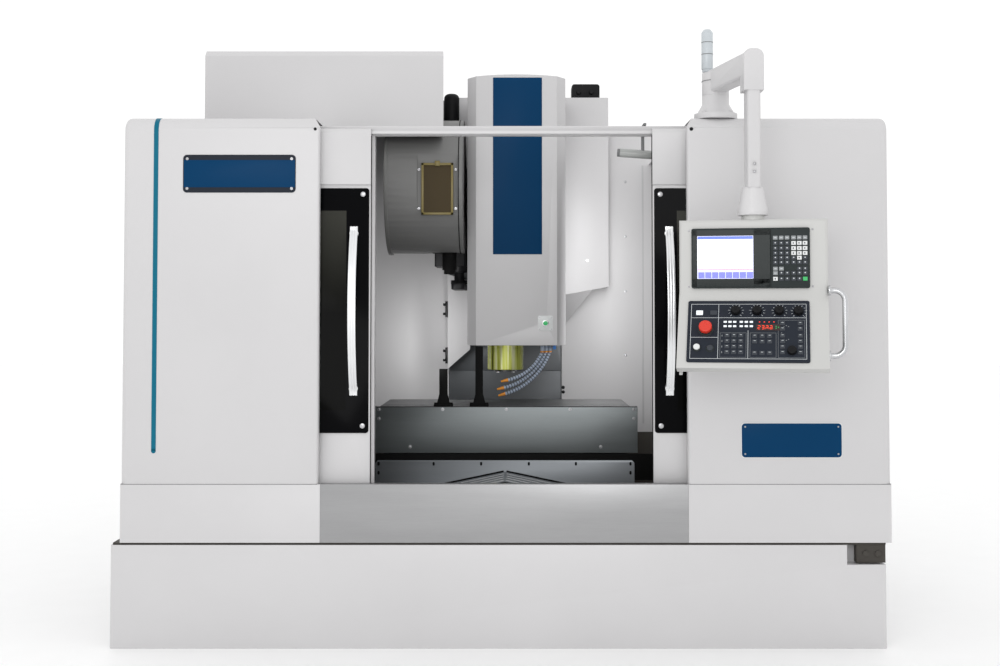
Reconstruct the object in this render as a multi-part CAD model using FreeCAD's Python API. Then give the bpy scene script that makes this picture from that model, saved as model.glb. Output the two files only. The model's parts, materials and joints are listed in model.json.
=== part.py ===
import FreeCAD, Part
import math
import os

# CNC vertical machining centre, built as the machine is built: cast bed and column, a saddle, table and
# spindle head that slide on them, a tool magazine, a sheet metal enclosure with two sliding doors, and an
# operator pendant on a swing arm.
# Frame: +Z up, +X to the operator's right, +Y from the operator towards the column, sizes in millimetres.
# The origin is on the floor, under the middle of the machine. Every y below is a depth behind the
# enclosure's front face, which lies at Y = FRONT.

Vec = FreeCAD.Vector
X_AXIS, Y_AXIS, Z_AXIS = Vec(1, 0, 0), Vec(0, 1, 0), Vec(0, 0, 1)

# ---- driving dimensions ----
FRONT = -1118.0
SHEET = 3.0              # sheet metal wall
SLIDE_GAP = 0.3          # air left between faces that slide past each other
FIT_GAP = 0.3            # radial air round a shaft, screw or push button

LEFT_SIDE, RIGHT_SIDE = -1562.0, 1623.0        # outer faces of the enclosure
LEFT_INNER, RIGHT_INNER = -745.0, 785.0        # edges of the cabinets beside the doors
SILL_LEFT, SILL_RIGHT = -737.0, 786.0          # ends of the front apron
SKIRT_BOTTOM, SILL_TOP = 432.0, 672.0
CABINET_TOP = 2198.0
CABINET_DEPTH = 1750.0
CABINET_ROUND, CABINET_EDGE_ROUND, CABINET_INNER_ROUND = 60.0, 24.0, 12.0

TANK_HALF_WIDTH, TANK_HEIGHT, TANK_DEPTH, TANK_WALL = 1600.0, 423.0, 2200.0, 6.0
NOTCH_LEFT, NOTCH_BOTTOM, NOTCH_DEPTH = 1438.0, 342.0, 70.0
LUG_LEFT, LUG_BOTTOM, LUG_FRONT, LUG_BACK = 1480.0, 348.0, 14.0, 56.0

AXIS_X = 25.0            # the machine's own middle: spindle, column and bed
BED_HALF_WIDTH, BED_FRONT, BED_BACK = 550.0, 300.0, 2480.0
FOOT_HEIGHT, FOOT_RADIUS, FOOT_INSET = 60.0, 55.0, 60.0
BED_TOP, WAY_HEIGHT = 480.0, 60.0
BED_RIB, BED_DECK, BED_ROWS, BED_COLUMNS = 40.0, 70.0, 5, 2
Y_WAY_OFFSET, Y_WAY_WIDTH = 250.0, 100.0

COLUMN_HALF_WIDTH, COLUMN_FRONT, COLUMN_TOP = 365.0, 1820.0, 2560.0
Z_WAY_OFFSET, Z_WAY_WIDTH, Z_WAY_PROUD = 220.0, 100.0, 20.0
COLUMN_WALL, COLUMN_LEVELS = 50.0, 4
SCREW_RADIUS, SCREW_CHANNEL = 20.0, 62.0
NUT_HALF, BEARING_THICK, X_BEARING = 45.0, 40.0, 25.0
Y_SCREW_END, Y_SCREW_Z = 1520.0, BED_TOP + WAY_HEIGHT / 2
Z_SCREW_Y, Z_SCREW_BOTTOM = COLUMN_FRONT + SCREW_CHANNEL, 640.0

SADDLE_HALF_WIDTH, SADDLE_FRONT, SADDLE_BACK, SADDLE_TOP = 580.0, 723.0, 1430.0, 850.0
SADDLE_SHELF, UPPER_FRONT, X_SCREW_Z = 700.0, 882.0, 790.0
APRON_X0, APRON_X1, APRON_LOW, APRON_TOP = -581.0, 630.0, 560.0, 692.0
TABLE_LENGTH, TABLE_WIDTH, TABLE_TOP = 1200.0, 600.0, 933.0
TABLE_FRONT = 803.0
GUARD_X0, GUARD_X1, GUARD_LOW, GUARD_TOP = -594.0, 652.0, 718.0, 937.0
POSTS = ((-291.0, -252.0, 1112.0), (-118.0, -82.0, 1220.0))     # each post's sides and top
POST_Y = 878.0
SLOT_COUNT, SLOT_PITCH, SLOT_WIDTH, SLOT_UNDER, SLOT_DEPTH, SLOT_NECK = 5, 100.0, 18.0, 30.0, 33.0, 19.0

SPINDLE_Y = 1100.0
CARTRIDGE_RADIUS, CARTRIDGE_BOTTOM, CARTRIDGE_TOP = 89.5, 1100.0, 1600.0
SPINDLE_RADIUS, SPINDLE_NOSE = 58.0, 1092.0
TAPER_GAUGE_RADIUS, TAPER_DEPTH = 22.225, 68.0
TAPER_RATE = 7.0 / 24.0 / 2.0
COVER_LEFT, COVER_RIGHT, COVER_BOTTOM, COVER_TOP = -158.0, 317.0, 1225.0, 2532.0
COVER_FRONT, COVER_BACK, COVER_CHAMFER, COVER_CROWN = 860.0, 1590.0, 43.0, 14.0
HEAD_BOTTOM, HEAD_MOUNT_TOP, HEAD_MOUNT_HALF = 1240.0, 1900.0, 280.0
NOZZLE_TOP = 1222.0
# each hose: its top's x, then its tip's x and z
NOZZLES = ((205.0, 44.0, 1058.0), (223.0, 24.0, 1020.0), (241.0, 30.0, 990.0))
NOZZLE_SAG = 0.12        # how far a hose bows out, as a share of its chord
NOZZLE_RADIUS, NOZZLE_TIP = 7.5, 42.0
BUTTON_X, BUTTON_Z, BUTTON_STEM, BUTTON_RADIUS = 218.0, 1331.0, 7.0, 11.0

REAR_WALL, WELL_LEFT, WELL_RIGHT, REAR_TOP = 1750.0, -286.0, 330.0, 2170.0
CHAMBER_TOP, CHUTE_TOP = 2380.0, 734.0          # rear panels between the cabinets, and the dark chutes
COVER_STEP = 9.0         # depth step from one way cover to the next
Z_COVER_FRONT = REAR_WALL + 15
Z_LOWER_TOP, Z_MID_BOTTOM, Z_MID_TOP, Z_UPPER_BOTTOM = 1145.0, 700.0, 1230.0, 1067.0
ROOF_SLOPE, ROOF_HALF, ROOF_RIM = math.tan(math.radians(11.8)), 470.0, 12.0
Y_REAR, Y_MID, Y_FRONT = (380.0, 639.0), (215.0, 631.0), (50.0, 623.0)     # front end and apex of each cover
Y_COVER_LENGTH = 340.0

DOOR_FRONT, DOOR_THICK, DOOR_BOTTOM, DOOR_TOP, DOOR_ROUND = 62.0, 40.0, 645.0, 2159.0, 22.0
LEFT_DOOR_EDGE, LEFT_DOOR_WIDTH = -538.0, 790.0
RIGHT_DOOR_EDGE, RIGHT_DOOR_WIDTH = 648.0, 775.0
WINDOW_BOTTOM, WINDOW_TOP, WINDOW_THICK, WINDOW_MARGIN, WINDOW_BORDER = 878.0, 1904.0, 6.0, 6.0, 95.0
HANDLE_BOTTOM, HANDLE_TOP, HANDLE_WIDTH, HANDLE_THICK, HANDLE_STAND = 1034.0, 1743.0, 32.0, 13.0, 88.0
LEFT_HANDLE_X, RIGHT_HANDLE_X = -607.0, 716.0
FRAME_FRONT, FRAME_BACK = DOOR_FRONT + DOOR_THICK + 4, 150.0       # opening's frame behind the doors
HEADER_LOW, HEADER_TOP = 2134.0, 2174.0
JAMBS = ((-570.0, -525.0), (664.0, 709.0))
RAIL_LOW, RAIL_FRONT, RAIL_TOP = 2137.0, 80.0, 2150.0
TRACK_X0, TRACK_X1 = LEFT_DOOR_EDGE - LEFT_DOOR_WIDTH - 20, RIGHT_DOOR_EDGE + RIGHT_DOOR_WIDTH + 20

MAG_X0, MAG_X1, MAG_Y, MAG_Z, MAG_RADIUS, MAG_WALL = -541.0, -175.0, 975.0, 1995.0, 325.0, 40.0
POT_X, POT_RADIUS, POT_TOP, POT_BOTTOM, POT_PIVOT_X, POT_PIVOT_Z = -248.0, 35.0, 1683.0, 1590.0, -330.0, 1690.0
CAROUSEL_RADIUS, POT_PITCH_RADIUS, POT_COUNT = 272.0, 228.0, 20
WIN_X0, WIN_X1, WIN_Z0, WIN_Z1 = -366.0, -217.0, 1838.0, 2081.0
ARM_X, ARM_Y, ARM_Z, ARM_HALF_LENGTH, ARM_SHAFT = -215.0, 1380.0, 1500.0, 200.0, 26.0
BRACKET_X0, BRACKET_X1, BRACKET_Z0, BRACKET_Z1 = -500.0, AXIS_X - COLUMN_HALF_WIDTH, 1900.0, 2100.0
HOOD_X0, HOOD_X1, HOOD_FRONT, HOOD_TOP = -1364.0, -260.0, 600.0, CABINET_TOP + 399

PIVOT_X, PIVOT_Y = 921.0, 100.0                # swing arm pivot on the right cabinet
PENDANT_X, PENDANT_Y, PENDANT_YAW = 1003.0, -300.0, -12.0
PENDANT_WIDTH, PENDANT_TOP, PENDANT_BREAK, PENDANT_BOTTOM = 570.0, 1743.0, 1439.0, 1170.0
PENDANT_FACE, PENDANT_BACK, DESK_TILT = -55.0, 65.0, 30.0
HUB_RADIUS, HUB_BOTTOM, SPIGOT_RADIUS, PEDESTAL_FLANGE = 57.0, CABINET_TOP + 102, 30.0, 91.0
TUBE_BOTTOM, FLANGE_BOTTOM = 1872.0, 1762.0
TOWER_X, TOWER_BASE = 905.0, 28.0
TOWER_Y = PIVOT_Y + PEDESTAL_FLANGE + TOWER_BASE + 3
DESK_LENGTH = (PENDANT_BREAK - PENDANT_BOTTOM) / math.cos(math.radians(DESK_TILT))
DESK_DOWN = Vec(0, -math.sin(math.radians(DESK_TILT)), -math.cos(math.radians(DESK_TILT)))
DESK_OUT = Vec(0, -math.cos(math.radians(DESK_TILT)), math.sin(math.radians(DESK_TILT)))
DESK_TOP = Vec(0, PENDANT_FACE, PENDANT_BREAK)
PANEL_THICK, POCKET_DEPTH = 5.0, 26.0
# each control: across and down the desk, stem radius, head radius, head height
ESTOP = (-178.0, 144.0, 12.0, 25.0, 20.0)
START = (-210.0, 226.0, 8.0, 12.5, 9.0)
KNOBS = ((-65.0, 64.0), (16.0, 64.0), (100.0, 64.0), (172.0, 66.0))
KNOB_STEM, KNOB_RADIUS, KNOB_HEIGHT = 4.0, 19.0, 17.0
ESTOP_TRAVEL, START_TRAVEL = 6.0, 3.0

CABINET_X0, CABINET_X1, CABINET_Z0, CABINET_Z1 = -420.0, 470.0, 560.0, 2300.0
CABINET_Y0, CABINET_Y1 = 2480.0, 2776.0
CABINET_DOOR = 20.0
HINGE_RADIUS, HINGE_PIN = 9.0, 4.5
HINGE_X, HINGE_Y = CABINET_X0 - HINGE_RADIUS, CABINET_Y1 + 12.0
HINGE_Z = (CABINET_Z0 + 200, CABINET_Z0 + 870, CABINET_Z1 - 200)


# ---- shape helpers ----
def block(x0, x1, y0, y1, z0, z1):
    """A box between two corners."""
    return Part.makeBox(x1 - x0, y1 - y0, z1 - z0, Vec(x0, FRONT + y0, z0))


def rod(radius, length, x, y, z, axis=Z_AXIS):
    """A round bar from a point along an axis."""
    return Part.makeCylinder(radius, length, Vec(x, FRONT + y, z), axis)


def prism(outline, axis, start, stop):
    """An outline pushed along one axis; its points are (y, z) for X, (x, z) for Y and (x, y) for Z."""
    if axis == "X":
        ring = [Vec(start, FRONT + a, b) for a, b in outline]
        push = Vec(stop - start, 0, 0)
    elif axis == "Y":
        ring = [Vec(a, FRONT + start, b) for a, b in outline]
        push = Vec(0, stop - start, 0)
    else:
        ring = [Vec(a, FRONT + b, start) for a, b in outline]
        push = Vec(0, 0, stop - start)
    return Part.Face(Part.makePolygon(ring + ring[:1])).extrude(push)


def fuse(solids):
    """Joins solids that touch or overlap into one."""
    whole = solids[0]
    for solid in solids[1:]:
        whole = whole.fuse(solid)
    return whole.removeSplitter()


def cut_all(shape, tools):
    """Takes each tool out of the shape."""
    for tool in tools:
        shape = shape.cut(tool)
    return shape


def runs_along(edge, axis):
    """True for a straight edge that is parallel to the axis."""
    ends = [vertex.Point for vertex in edge.Vertexes]
    if len(ends) != 2 or not isinstance(edge.Curve, Part.Line):
        return False
    return (ends[1] - ends[0]).normalize().cross(axis).Length < 1e-6


def round_where(shape, radius, test):
    """Fillets the edges that pass the test."""
    return shape.makeFillet(radius, [edge for edge in shape.Edges if test(edge)])


def centre(edge):
    """The middle of an edge's box, with its depth behind the front face in y."""
    point = edge.BoundBox.Center
    return Vec(point.x, point.y - FRONT, point.z)


def soft_box(x0, x1, y0, y1, z0, z1, radius, axis):
    """A box whose four edges along one axis are rounded."""
    return round_where(block(x0, x1, y0, y1, z0, z1), radius, lambda edge: runs_along(edge, axis))


def hex_head(radius, height, x, y, z):
    """A hexagonal nut or bolt head standing up from a point."""
    points = [(x + radius * math.cos(math.radians(a)), y + radius * math.sin(math.radians(a)))
              for a in range(0, 360, 60)]
    return prism(points, "Z", z, z + height)


# ---- castings ----
def make_bed():
    """Ribbed bed with two box ways, the Y screw's channel and its two bearing blocks."""
    x0, x1 = AXIS_X - BED_HALF_WIDTH, AXIS_X + BED_HALF_WIDTH
    bed = block(x0, x1, BED_FRONT, BED_BACK, FOOT_HEIGHT, BED_TOP)
    pitch_y = (BED_BACK - BED_FRONT - BED_RIB) / BED_ROWS
    pitch_x = (x1 - x0 - BED_RIB) / BED_COLUMNS
    for row in range(BED_ROWS):
        for column in range(BED_COLUMNS):
            px, py = x0 + BED_RIB + column * pitch_x, BED_FRONT + BED_RIB + row * pitch_y
            bed = bed.cut(block(px, px + pitch_x - BED_RIB, py, py + pitch_y - BED_RIB, FOOT_HEIGHT - 1,
                                BED_TOP - BED_DECK))
    for x, y in foot_places():
        bed = bed.fuse(block(x - FOOT_INSET, x + FOOT_INSET, y - FOOT_INSET, y + FOOT_INSET, FOOT_HEIGHT,
                             BED_TOP))
    for side in (-1, 1):
        middle = AXIS_X + side * Y_WAY_OFFSET
        way = block(middle - Y_WAY_WIDTH / 2, middle + Y_WAY_WIDTH / 2, BED_FRONT, REAR_WALL,
                    BED_TOP, BED_TOP + WAY_HEIGHT)
        bed = bed.fuse(way)
    for y in (BED_FRONT, Y_SCREW_END):
        bearing = block(AXIS_X - SCREW_CHANNEL, AXIS_X + SCREW_CHANNEL, y, y + BEARING_THICK,
                        BED_TOP, BED_TOP + WAY_HEIGHT)
        bed = bed.fuse(bearing)
    bore = rod(SCREW_RADIUS + FIT_GAP, BED_BACK, AXIS_X, BED_FRONT - 1, Y_SCREW_Z, Y_AXIS)
    bore_reach = block(x0, x1, BED_FRONT - 1, Y_SCREW_END + BEARING_THICK + 1, BED_TOP, COLUMN_TOP)
    bed = bed.cut(bore.common(bore_reach))
    return bed.removeSplitter()


def make_column():
    """Hollow column with two box ways, a front channel for the Z screw and cored pockets open to the rear."""
    x0, x1 = AXIS_X - COLUMN_HALF_WIDTH, AXIS_X + COLUMN_HALF_WIDTH
    column = block(x0, x1, COLUMN_FRONT, BED_BACK, BED_TOP, COLUMN_TOP)
    for side in (-1, 1):
        middle = AXIS_X + side * Z_WAY_OFFSET
        column = column.fuse(block(middle - Z_WAY_WIDTH / 2, middle + Z_WAY_WIDTH / 2,
                                   COLUMN_FRONT - Z_WAY_PROUD, COLUMN_FRONT, Z_SCREW_BOTTOM, COLUMN_TOP))
    channel = block(AXIS_X - SCREW_CHANNEL, AXIS_X + SCREW_CHANNEL, COLUMN_FRONT - 1,
                    COLUMN_FRONT + 2 * SCREW_CHANNEL, Z_SCREW_BOTTOM + BEARING_THICK, COLUMN_TOP - BEARING_THICK)
    column = column.cut(channel)
    column = column.cut(rod(SCREW_RADIUS + FIT_GAP, COLUMN_TOP, AXIS_X, Z_SCREW_Y, Z_SCREW_BOTTOM))
    pitch = (COLUMN_TOP - BED_TOP - COLUMN_WALL) / COLUMN_LEVELS
    for level in range(COLUMN_LEVELS):
        z = BED_TOP + COLUMN_WALL + level * pitch
        pocket = block(x0 + COLUMN_WALL, x1 - COLUMN_WALL, COLUMN_FRONT + 2 * SCREW_CHANNEL + COLUMN_WALL,
                       BED_BACK + 1, z, z + pitch - COLUMN_WALL)
        column = column.cut(pocket)
    return column.removeSplitter()


def foot_places():
    """The middles of the six levelling feet, under bosses in the bed's corners and half way along it."""
    return [(x, y) for x in (AXIS_X - BED_HALF_WIDTH + FOOT_INSET, AXIS_X + BED_HALF_WIDTH - FOOT_INSET)
            for y in (BED_FRONT + FOOT_INSET, (BED_FRONT + BED_BACK) / 2, BED_BACK - FOOT_INSET)]


def make_feet():
    """Six levelling feet: pad, stud and lock nut under the bed."""
    feet, pad_height, nut_height = [], 26.0, 12.0
    for x, y in foot_places():
        pad = Part.makeCone(FOOT_RADIUS, FOOT_RADIUS - 8, pad_height, Vec(x, FRONT + y, 0))
        stud = rod(14, FOOT_HEIGHT - pad_height, x, y, pad_height)
        feet.append(fuse([pad, stud, hex_head(22, nut_height, x, y, FOOT_HEIGHT - nut_height - 2)]))
    return Part.makeCompound(feet)


# ---- enclosure ----
def make_tank():
    """Coolant tank: a U round the bed, open on top, with a cut corner for the drain lug."""
    bed_gap = 10.0
    bed_x0, bed_x1 = AXIS_X - BED_HALF_WIDTH - bed_gap, AXIS_X + BED_HALF_WIDTH + bed_gap
    wide, wall = TANK_HALF_WIDTH, TANK_WALL
    tank = block(-wide, wide, 0, TANK_DEPTH, 0, TANK_HEIGHT)
    tank = tank.cut(block(bed_x0, bed_x1, BED_FRONT - bed_gap, TANK_DEPTH + 1, -1, TANK_HEIGHT + 1))
    tank = round_where(tank, 10.0, lambda edge: runs_along(edge, Z_AXIS) and centre(edge).y < 1)
    front_back = BED_FRONT - bed_gap
    cavities = [block(-wide + wall, NOTCH_LEFT - wall, wall, front_back - wall, wall, TANK_HEIGHT + 1),
                block(-wide + wall, bed_x0 - wall, front_back, TANK_DEPTH - wall, wall, TANK_HEIGHT + 1),
                block(bed_x1 + wall, wide - wall, front_back, TANK_DEPTH - wall, wall, TANK_HEIGHT + 1)]
    notch = block(NOTCH_LEFT, wide + 1, -1, NOTCH_DEPTH, NOTCH_BOTTOM, TANK_HEIGHT + 1)
    return cut_all(tank, cavities + [notch])


def make_chip_pan():
    """Flat pan between tank and enclosure, open round the bed, with its rear chutes and the bolted lug."""
    pan = block(-TANK_HALF_WIDTH + 8, TANK_HALF_WIDTH, 8, TANK_DEPTH, TANK_HEIGHT, SKIRT_BOTTOM)
    pan = pan.cut(block(AXIS_X - BED_HALF_WIDTH - 4, AXIS_X + BED_HALF_WIDTH + 4, BED_FRONT - 4, TANK_DEPTH + 1,
                        TANK_HEIGHT - 1, SKIRT_BOTTOM + 1))
    lug = block(LUG_LEFT, TANK_HALF_WIDTH, LUG_FRONT, LUG_BACK, LUG_BOTTOM, TANK_HEIGHT)
    bolts = [rod(13, 8, x, LUG_FRONT, (LUG_BOTTOM + TANK_HEIGHT) / 2, -Y_AXIS)
             for x in (LUG_LEFT + 36, LUG_LEFT + 88)]
    chutes = [block(x0, x1, REAR_WALL - SHEET, REAR_WALL, SKIRT_BOTTOM - 1, CHUTE_TOP)
              for x0, x1 in ((LEFT_SIDE + 12, AXIS_X - BED_HALF_WIDTH - 14),
                             (AXIS_X + BED_HALF_WIDTH + 14, RIGHT_SIDE - 40))]
    return fuse([pan, lug] + bolts + chutes)


def cabinet_block(outer, inner, bottom, top, y0, y1, front_round, edge_round):
    """A cabinet's solid outline with its top front edge and the outer edge that follows it rounded."""
    solid = block(min(outer, inner), max(outer, inner), y0, y1, bottom, top)
    solid = round_where(solid, front_round,
                        lambda edge: runs_along(edge, X_AXIS) and centre(edge).y < y0 + 1
                        and centre(edge).z > top - 1)

    def on_outer_face(edge):
        on_face = all(abs(vertex.X - outer) < 0.01 for vertex in edge.Vertexes)
        middle = centre(edge)
        return on_face and middle.y < y1 - 1 and middle.z > bottom + 1
    return round_where(solid, edge_round, on_outer_face)


def make_cabinet(outer, inner):
    """One side cabinet: front, outer side and top folded from sheet, open to the chamber, rear and floor."""
    inward = 1 if inner > outer else -1
    lip_back, beyond = 34.0, 100.0

    def edge_rounded(edge_x, front, radius):
        """A large block whose vertical edge beside the doors is rounded."""
        x0, x1 = sorted((edge_x, edge_x - inward * 2000))
        whole = block(x0, x1, front, CABINET_DEPTH + 2 * beyond, 0, CABINET_TOP + beyond)
        return round_where(whole, radius, lambda edge: runs_along(edge, Z_AXIS) and centre(edge).y < front + 1
                           and abs(centre(edge).x - edge_x) < 1)
    shell = cabinet_block(outer, inner, SILL_TOP, CABINET_TOP, 0, CABINET_DEPTH, CABINET_ROUND,
                          CABINET_EDGE_ROUND)
    shell = shell.common(edge_rounded(inner, 0, CABINET_INNER_ROUND))
    hollow = cabinet_block(outer + inward * SHEET, inner + inward * beyond, SILL_TOP - beyond,
                           CABINET_TOP - SHEET, SHEET, CABINET_DEPTH + beyond, CABINET_ROUND - SHEET,
                           CABINET_EDGE_ROUND - SHEET)
    hollow = hollow.common(edge_rounded(inner - inward * SHEET, SHEET, CABINET_INNER_ROUND - SHEET))
    x0, x1 = sorted((inner - inward * (SHEET + 1), inner + inward))
    side_opening = block(x0, x1, lip_back, CABINET_DEPTH + 1, SILL_TOP - 1, CABINET_TOP - SHEET)
    corner = [(inner - inward * 26, CABINET_TOP + 1), (inner + inward, CABINET_TOP + 1),
              (inner + inward, CABINET_TOP - 42)]
    return cut_all(shell, [hollow, side_opening, prism(corner, "Y", -1, CABINET_DEPTH + 1)]).removeSplitter()


def make_skirts():
    """Lower side panels under the cabinets, each a front and an outer side in one fold."""
    left = fuse([block(LEFT_SIDE, SILL_LEFT, 0, SHEET, SKIRT_BOTTOM, SILL_TOP),
                 block(LEFT_SIDE, LEFT_SIDE + SHEET, 0, CABINET_DEPTH, SKIRT_BOTTOM, SILL_TOP)])
    right = fuse([block(SILL_RIGHT, RIGHT_SIDE, 0, SHEET, SKIRT_BOTTOM, SILL_TOP),
                  block(RIGHT_SIDE - SHEET, RIGHT_SIDE, 0, CABINET_DEPTH, SKIRT_BOTTOM, SILL_TOP)])
    return Part.makeCompound([left, right])


def make_front_apron():
    """Stainless front apron, folded back over the sill and down to the shelf that the doors run on.

    The shelf's rear leg is cut away where the way covers slide under it.
    """
    x0, x1 = SILL_LEFT, SILL_RIGHT
    sill_back = DOOR_FRONT - 2 * WINDOW_THICK
    shelf_top = DOOR_BOTTOM - SLIDE_GAP
    shelf_low = shelf_top - SHEET
    leg = block(TRACK_X0, TRACK_X1, FRAME_BACK - SHEET, FRAME_BACK, SKIRT_BOTTOM, shelf_top)
    cover_way = ROOF_HALF + 3 * SHEET + 15
    leg = leg.cut(block(AXIS_X - cover_way, AXIS_X + cover_way, FRAME_BACK - SHEET - 1, FRAME_BACK + 1,
                        SKIRT_BOTTOM - 1, shelf_low))
    return fuse([block(x0, x1, 0, SHEET, SKIRT_BOTTOM, SILL_TOP),
                 block(x0, x1, 0, sill_back, SILL_TOP - SHEET, SILL_TOP),
                 block(x0, x1, sill_back - SHEET, sill_back, shelf_low, SILL_TOP),
                 block(TRACK_X0, TRACK_X1, sill_back - SHEET, FRAME_BACK, shelf_low, shelf_top), leg])


def make_header():
    """Opening's frame behind the doors: two jambs on the shelf, the header with its door rail, and hangers."""
    beam = block(TRACK_X0, TRACK_X1, FRAME_FRONT, FRAME_BACK, HEADER_LOW, HEADER_TOP)
    beam = round_where(beam, 5.0, lambda edge: runs_along(edge, X_AXIS) and centre(edge).y < FRAME_FRONT + 1)
    hollow = block(TRACK_X0 - 1, TRACK_X1 + 1, FRAME_FRONT + SHEET, FRAME_BACK - SHEET, HEADER_LOW + SHEET,
                   HEADER_TOP - SHEET)
    rail = [block(TRACK_X0, TRACK_X1, RAIL_FRONT, FRAME_FRONT + SHEET, RAIL_LOW, RAIL_LOW + SHEET),
            block(TRACK_X0, TRACK_X1, RAIL_FRONT, RAIL_FRONT + SHEET, RAIL_LOW, RAIL_TOP)]
    jambs = [block(x0, x1, FRAME_FRONT, FRAME_BACK, DOOR_BOTTOM - SLIDE_GAP, HEADER_LOW + 1)
             for x0, x1 in JAMBS]
    cores = [block(x0 + SHEET, x1 - SHEET, FRAME_FRONT + SHEET, FRAME_BACK + 1, DOOR_BOTTOM - 1,
                   HEADER_LOW - 20) for x0, x1 in JAMBS]
    hangers = [block(x - 15, x + 15, FRAME_FRONT + SHEET, FRAME_BACK, HEADER_TOP - 1, CABINET_TOP - SHEET)
               for x in (TRACK_X0 + 20, LEFT_INNER - 60, RIGHT_INNER + 60, TRACK_X1 - 20)]
    return cut_all(fuse([beam.cut(hollow)] + rail + jambs + hangers), cores)


def make_rear_panels():
    """Two white panels behind the chamber, either side of the well that the head runs in."""
    bed_clear, step = 12.0, BED_TOP + WAY_HEIGHT + 8
    back = REAR_WALL + 10
    panels = []
    for outer, inner, side in ((LEFT_SIDE, WELL_LEFT, -1), (RIGHT_SIDE, WELL_RIGHT, 1)):
        bed_edge = AXIS_X + side * (BED_HALF_WIDTH + bed_clear)
        chamber = (LEFT_INNER if side < 0 else RIGHT_INNER) + side * 60
        outline = [(outer, SKIRT_BOTTOM), (bed_edge, SKIRT_BOTTOM), (bed_edge, step), (inner, step),
                   (inner, CHAMBER_TOP), (chamber, CHAMBER_TOP), (chamber, REAR_TOP), (outer, REAR_TOP)]
        panels.append(prism(outline, "Y", REAR_WALL, back))
    panels[0] = panels[0].cut(block(BRACKET_X0 - 4, BRACKET_X1 + 4, REAR_WALL - 1, back + 1,
                                    BRACKET_Z0 - 4, BRACKET_Z1 + 4))
    return Part.makeCompound(panels)


def make_hood():
    """Sheet hood over the tool magazine, open below; its right side draws in towards the rear."""
    slope, draw_in = 26.0, 85.0
    outline = [(HOOD_FRONT, CABINET_TOP), (CABINET_DEPTH, CABINET_TOP), (CABINET_DEPTH, HOOD_TOP),
               (HOOD_FRONT + slope, HOOD_TOP), (HOOD_FRONT, HOOD_TOP - slope)]
    inside = [(HOOD_FRONT + SHEET, CABINET_TOP - 1), (CABINET_DEPTH - SHEET, CABINET_TOP - 1),
              (CABINET_DEPTH - SHEET, HOOD_TOP - SHEET), (HOOD_FRONT + slope + 1, HOOD_TOP - SHEET),
              (HOOD_FRONT + SHEET, HOOD_TOP - slope - 1)]
    def plan(wall):
        """The hood's plan, as far inside its outer faces as given."""
        right_rear = HOOD_X1 - draw_in - wall
        points = [(HOOD_X0 + wall, HOOD_FRONT), (HOOD_X1 - wall, HOOD_FRONT), (right_rear, CABINET_DEPTH),
                  (HOOD_X0 + wall, CABINET_DEPTH)]
        return prism(points, "Z", CABINET_TOP - 10, HOOD_TOP + 10)
    hood = prism(outline, "X", HOOD_X0, HOOD_X1).common(plan(0))
    hood = hood.cut(prism(inside, "X", HOOD_X0, HOOD_X1).common(plan(SHEET)))
    drum_way = rod(MAG_RADIUS + 8, draw_in + 40, HOOD_X1 - draw_in - 20, MAG_Y, MAG_Z, X_AXIS)
    return hood.cut(drum_way)


def make_electrical_cabinet():
    """Power cabinet on the column's back, open to its door, with a back plate for the drives and hinge pins."""
    wall = 4.0
    body = block(CABINET_X0, CABINET_X1, CABINET_Y0, CABINET_Y1, CABINET_Z0, CABINET_Z1)
    body = body.cut(block(CABINET_X0 + wall, CABINET_X1 - wall, CABINET_Y0 + wall, CABINET_Y1 + 1,
                          CABINET_Z0 + wall, CABINET_Z1 - wall))
    pins = []
    for z in HINGE_Z:
        ear = block(CABINET_X0 - 2 * HINGE_RADIUS, CABINET_X0, CABINET_Y1 - 30, CABINET_Y1, z - 30, z)
        arm = block(HINGE_X - HINGE_RADIUS, HINGE_X + HINGE_RADIUS, CABINET_Y1 - 1, HINGE_Y, z - 30, z)
        pins.append(fuse([ear, arm, rod(HINGE_RADIUS, 30, HINGE_X, HINGE_Y, z - 30),
                          rod(HINGE_PIN, 30 + 24, HINGE_X, HINGE_Y, z - 30)]))
    modules = [block(x, x + 110, CABINET_Y0 + wall, CABINET_Y0 + 140, z, z + 300)
               for z in (CABINET_Z0 + 260, CABINET_Z0 + 700, CABINET_Z0 + 1140) for x in range(-330, 331, 140)]
    return fuse([body] + pins + modules)


def make_cabinet_door():
    """Flat door with a folded rim, a turning latch grip and three hinge barrels."""
    y0, y1 = CABINET_Y1 + SLIDE_GAP, CABINET_Y1 + SLIDE_GAP + CABINET_DOOR
    door = block(CABINET_X0 + 1, CABINET_X1, y0, y1, CABINET_Z0, CABINET_Z1)
    door = door.cut(block(CABINET_X0 + 12, CABINET_X1 - 12, y0 - 1, y1 - SHEET, CABINET_Z0 + 12,
                          CABINET_Z1 - 12))
    grip = block(CABINET_X1 - 70, CABINET_X1 - 40, y1, y1 + 6, 1400, 1540)
    barrels = []
    for z in HINGE_Z:
        barrel = rod(HINGE_RADIUS, 24, HINGE_X, HINGE_Y, z + SLIDE_GAP)
        leaf = block(HINGE_X, CABINET_X0 + 4, HINGE_Y, y1, z + SLIDE_GAP, z + SLIDE_GAP + 24)
        barrels.append(barrel.fuse(leaf).cut(rod(HINGE_PIN + FIT_GAP, 30, HINGE_X, HINGE_Y, z - 2)))
    return fuse([door, grip] + barrels)


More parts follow.
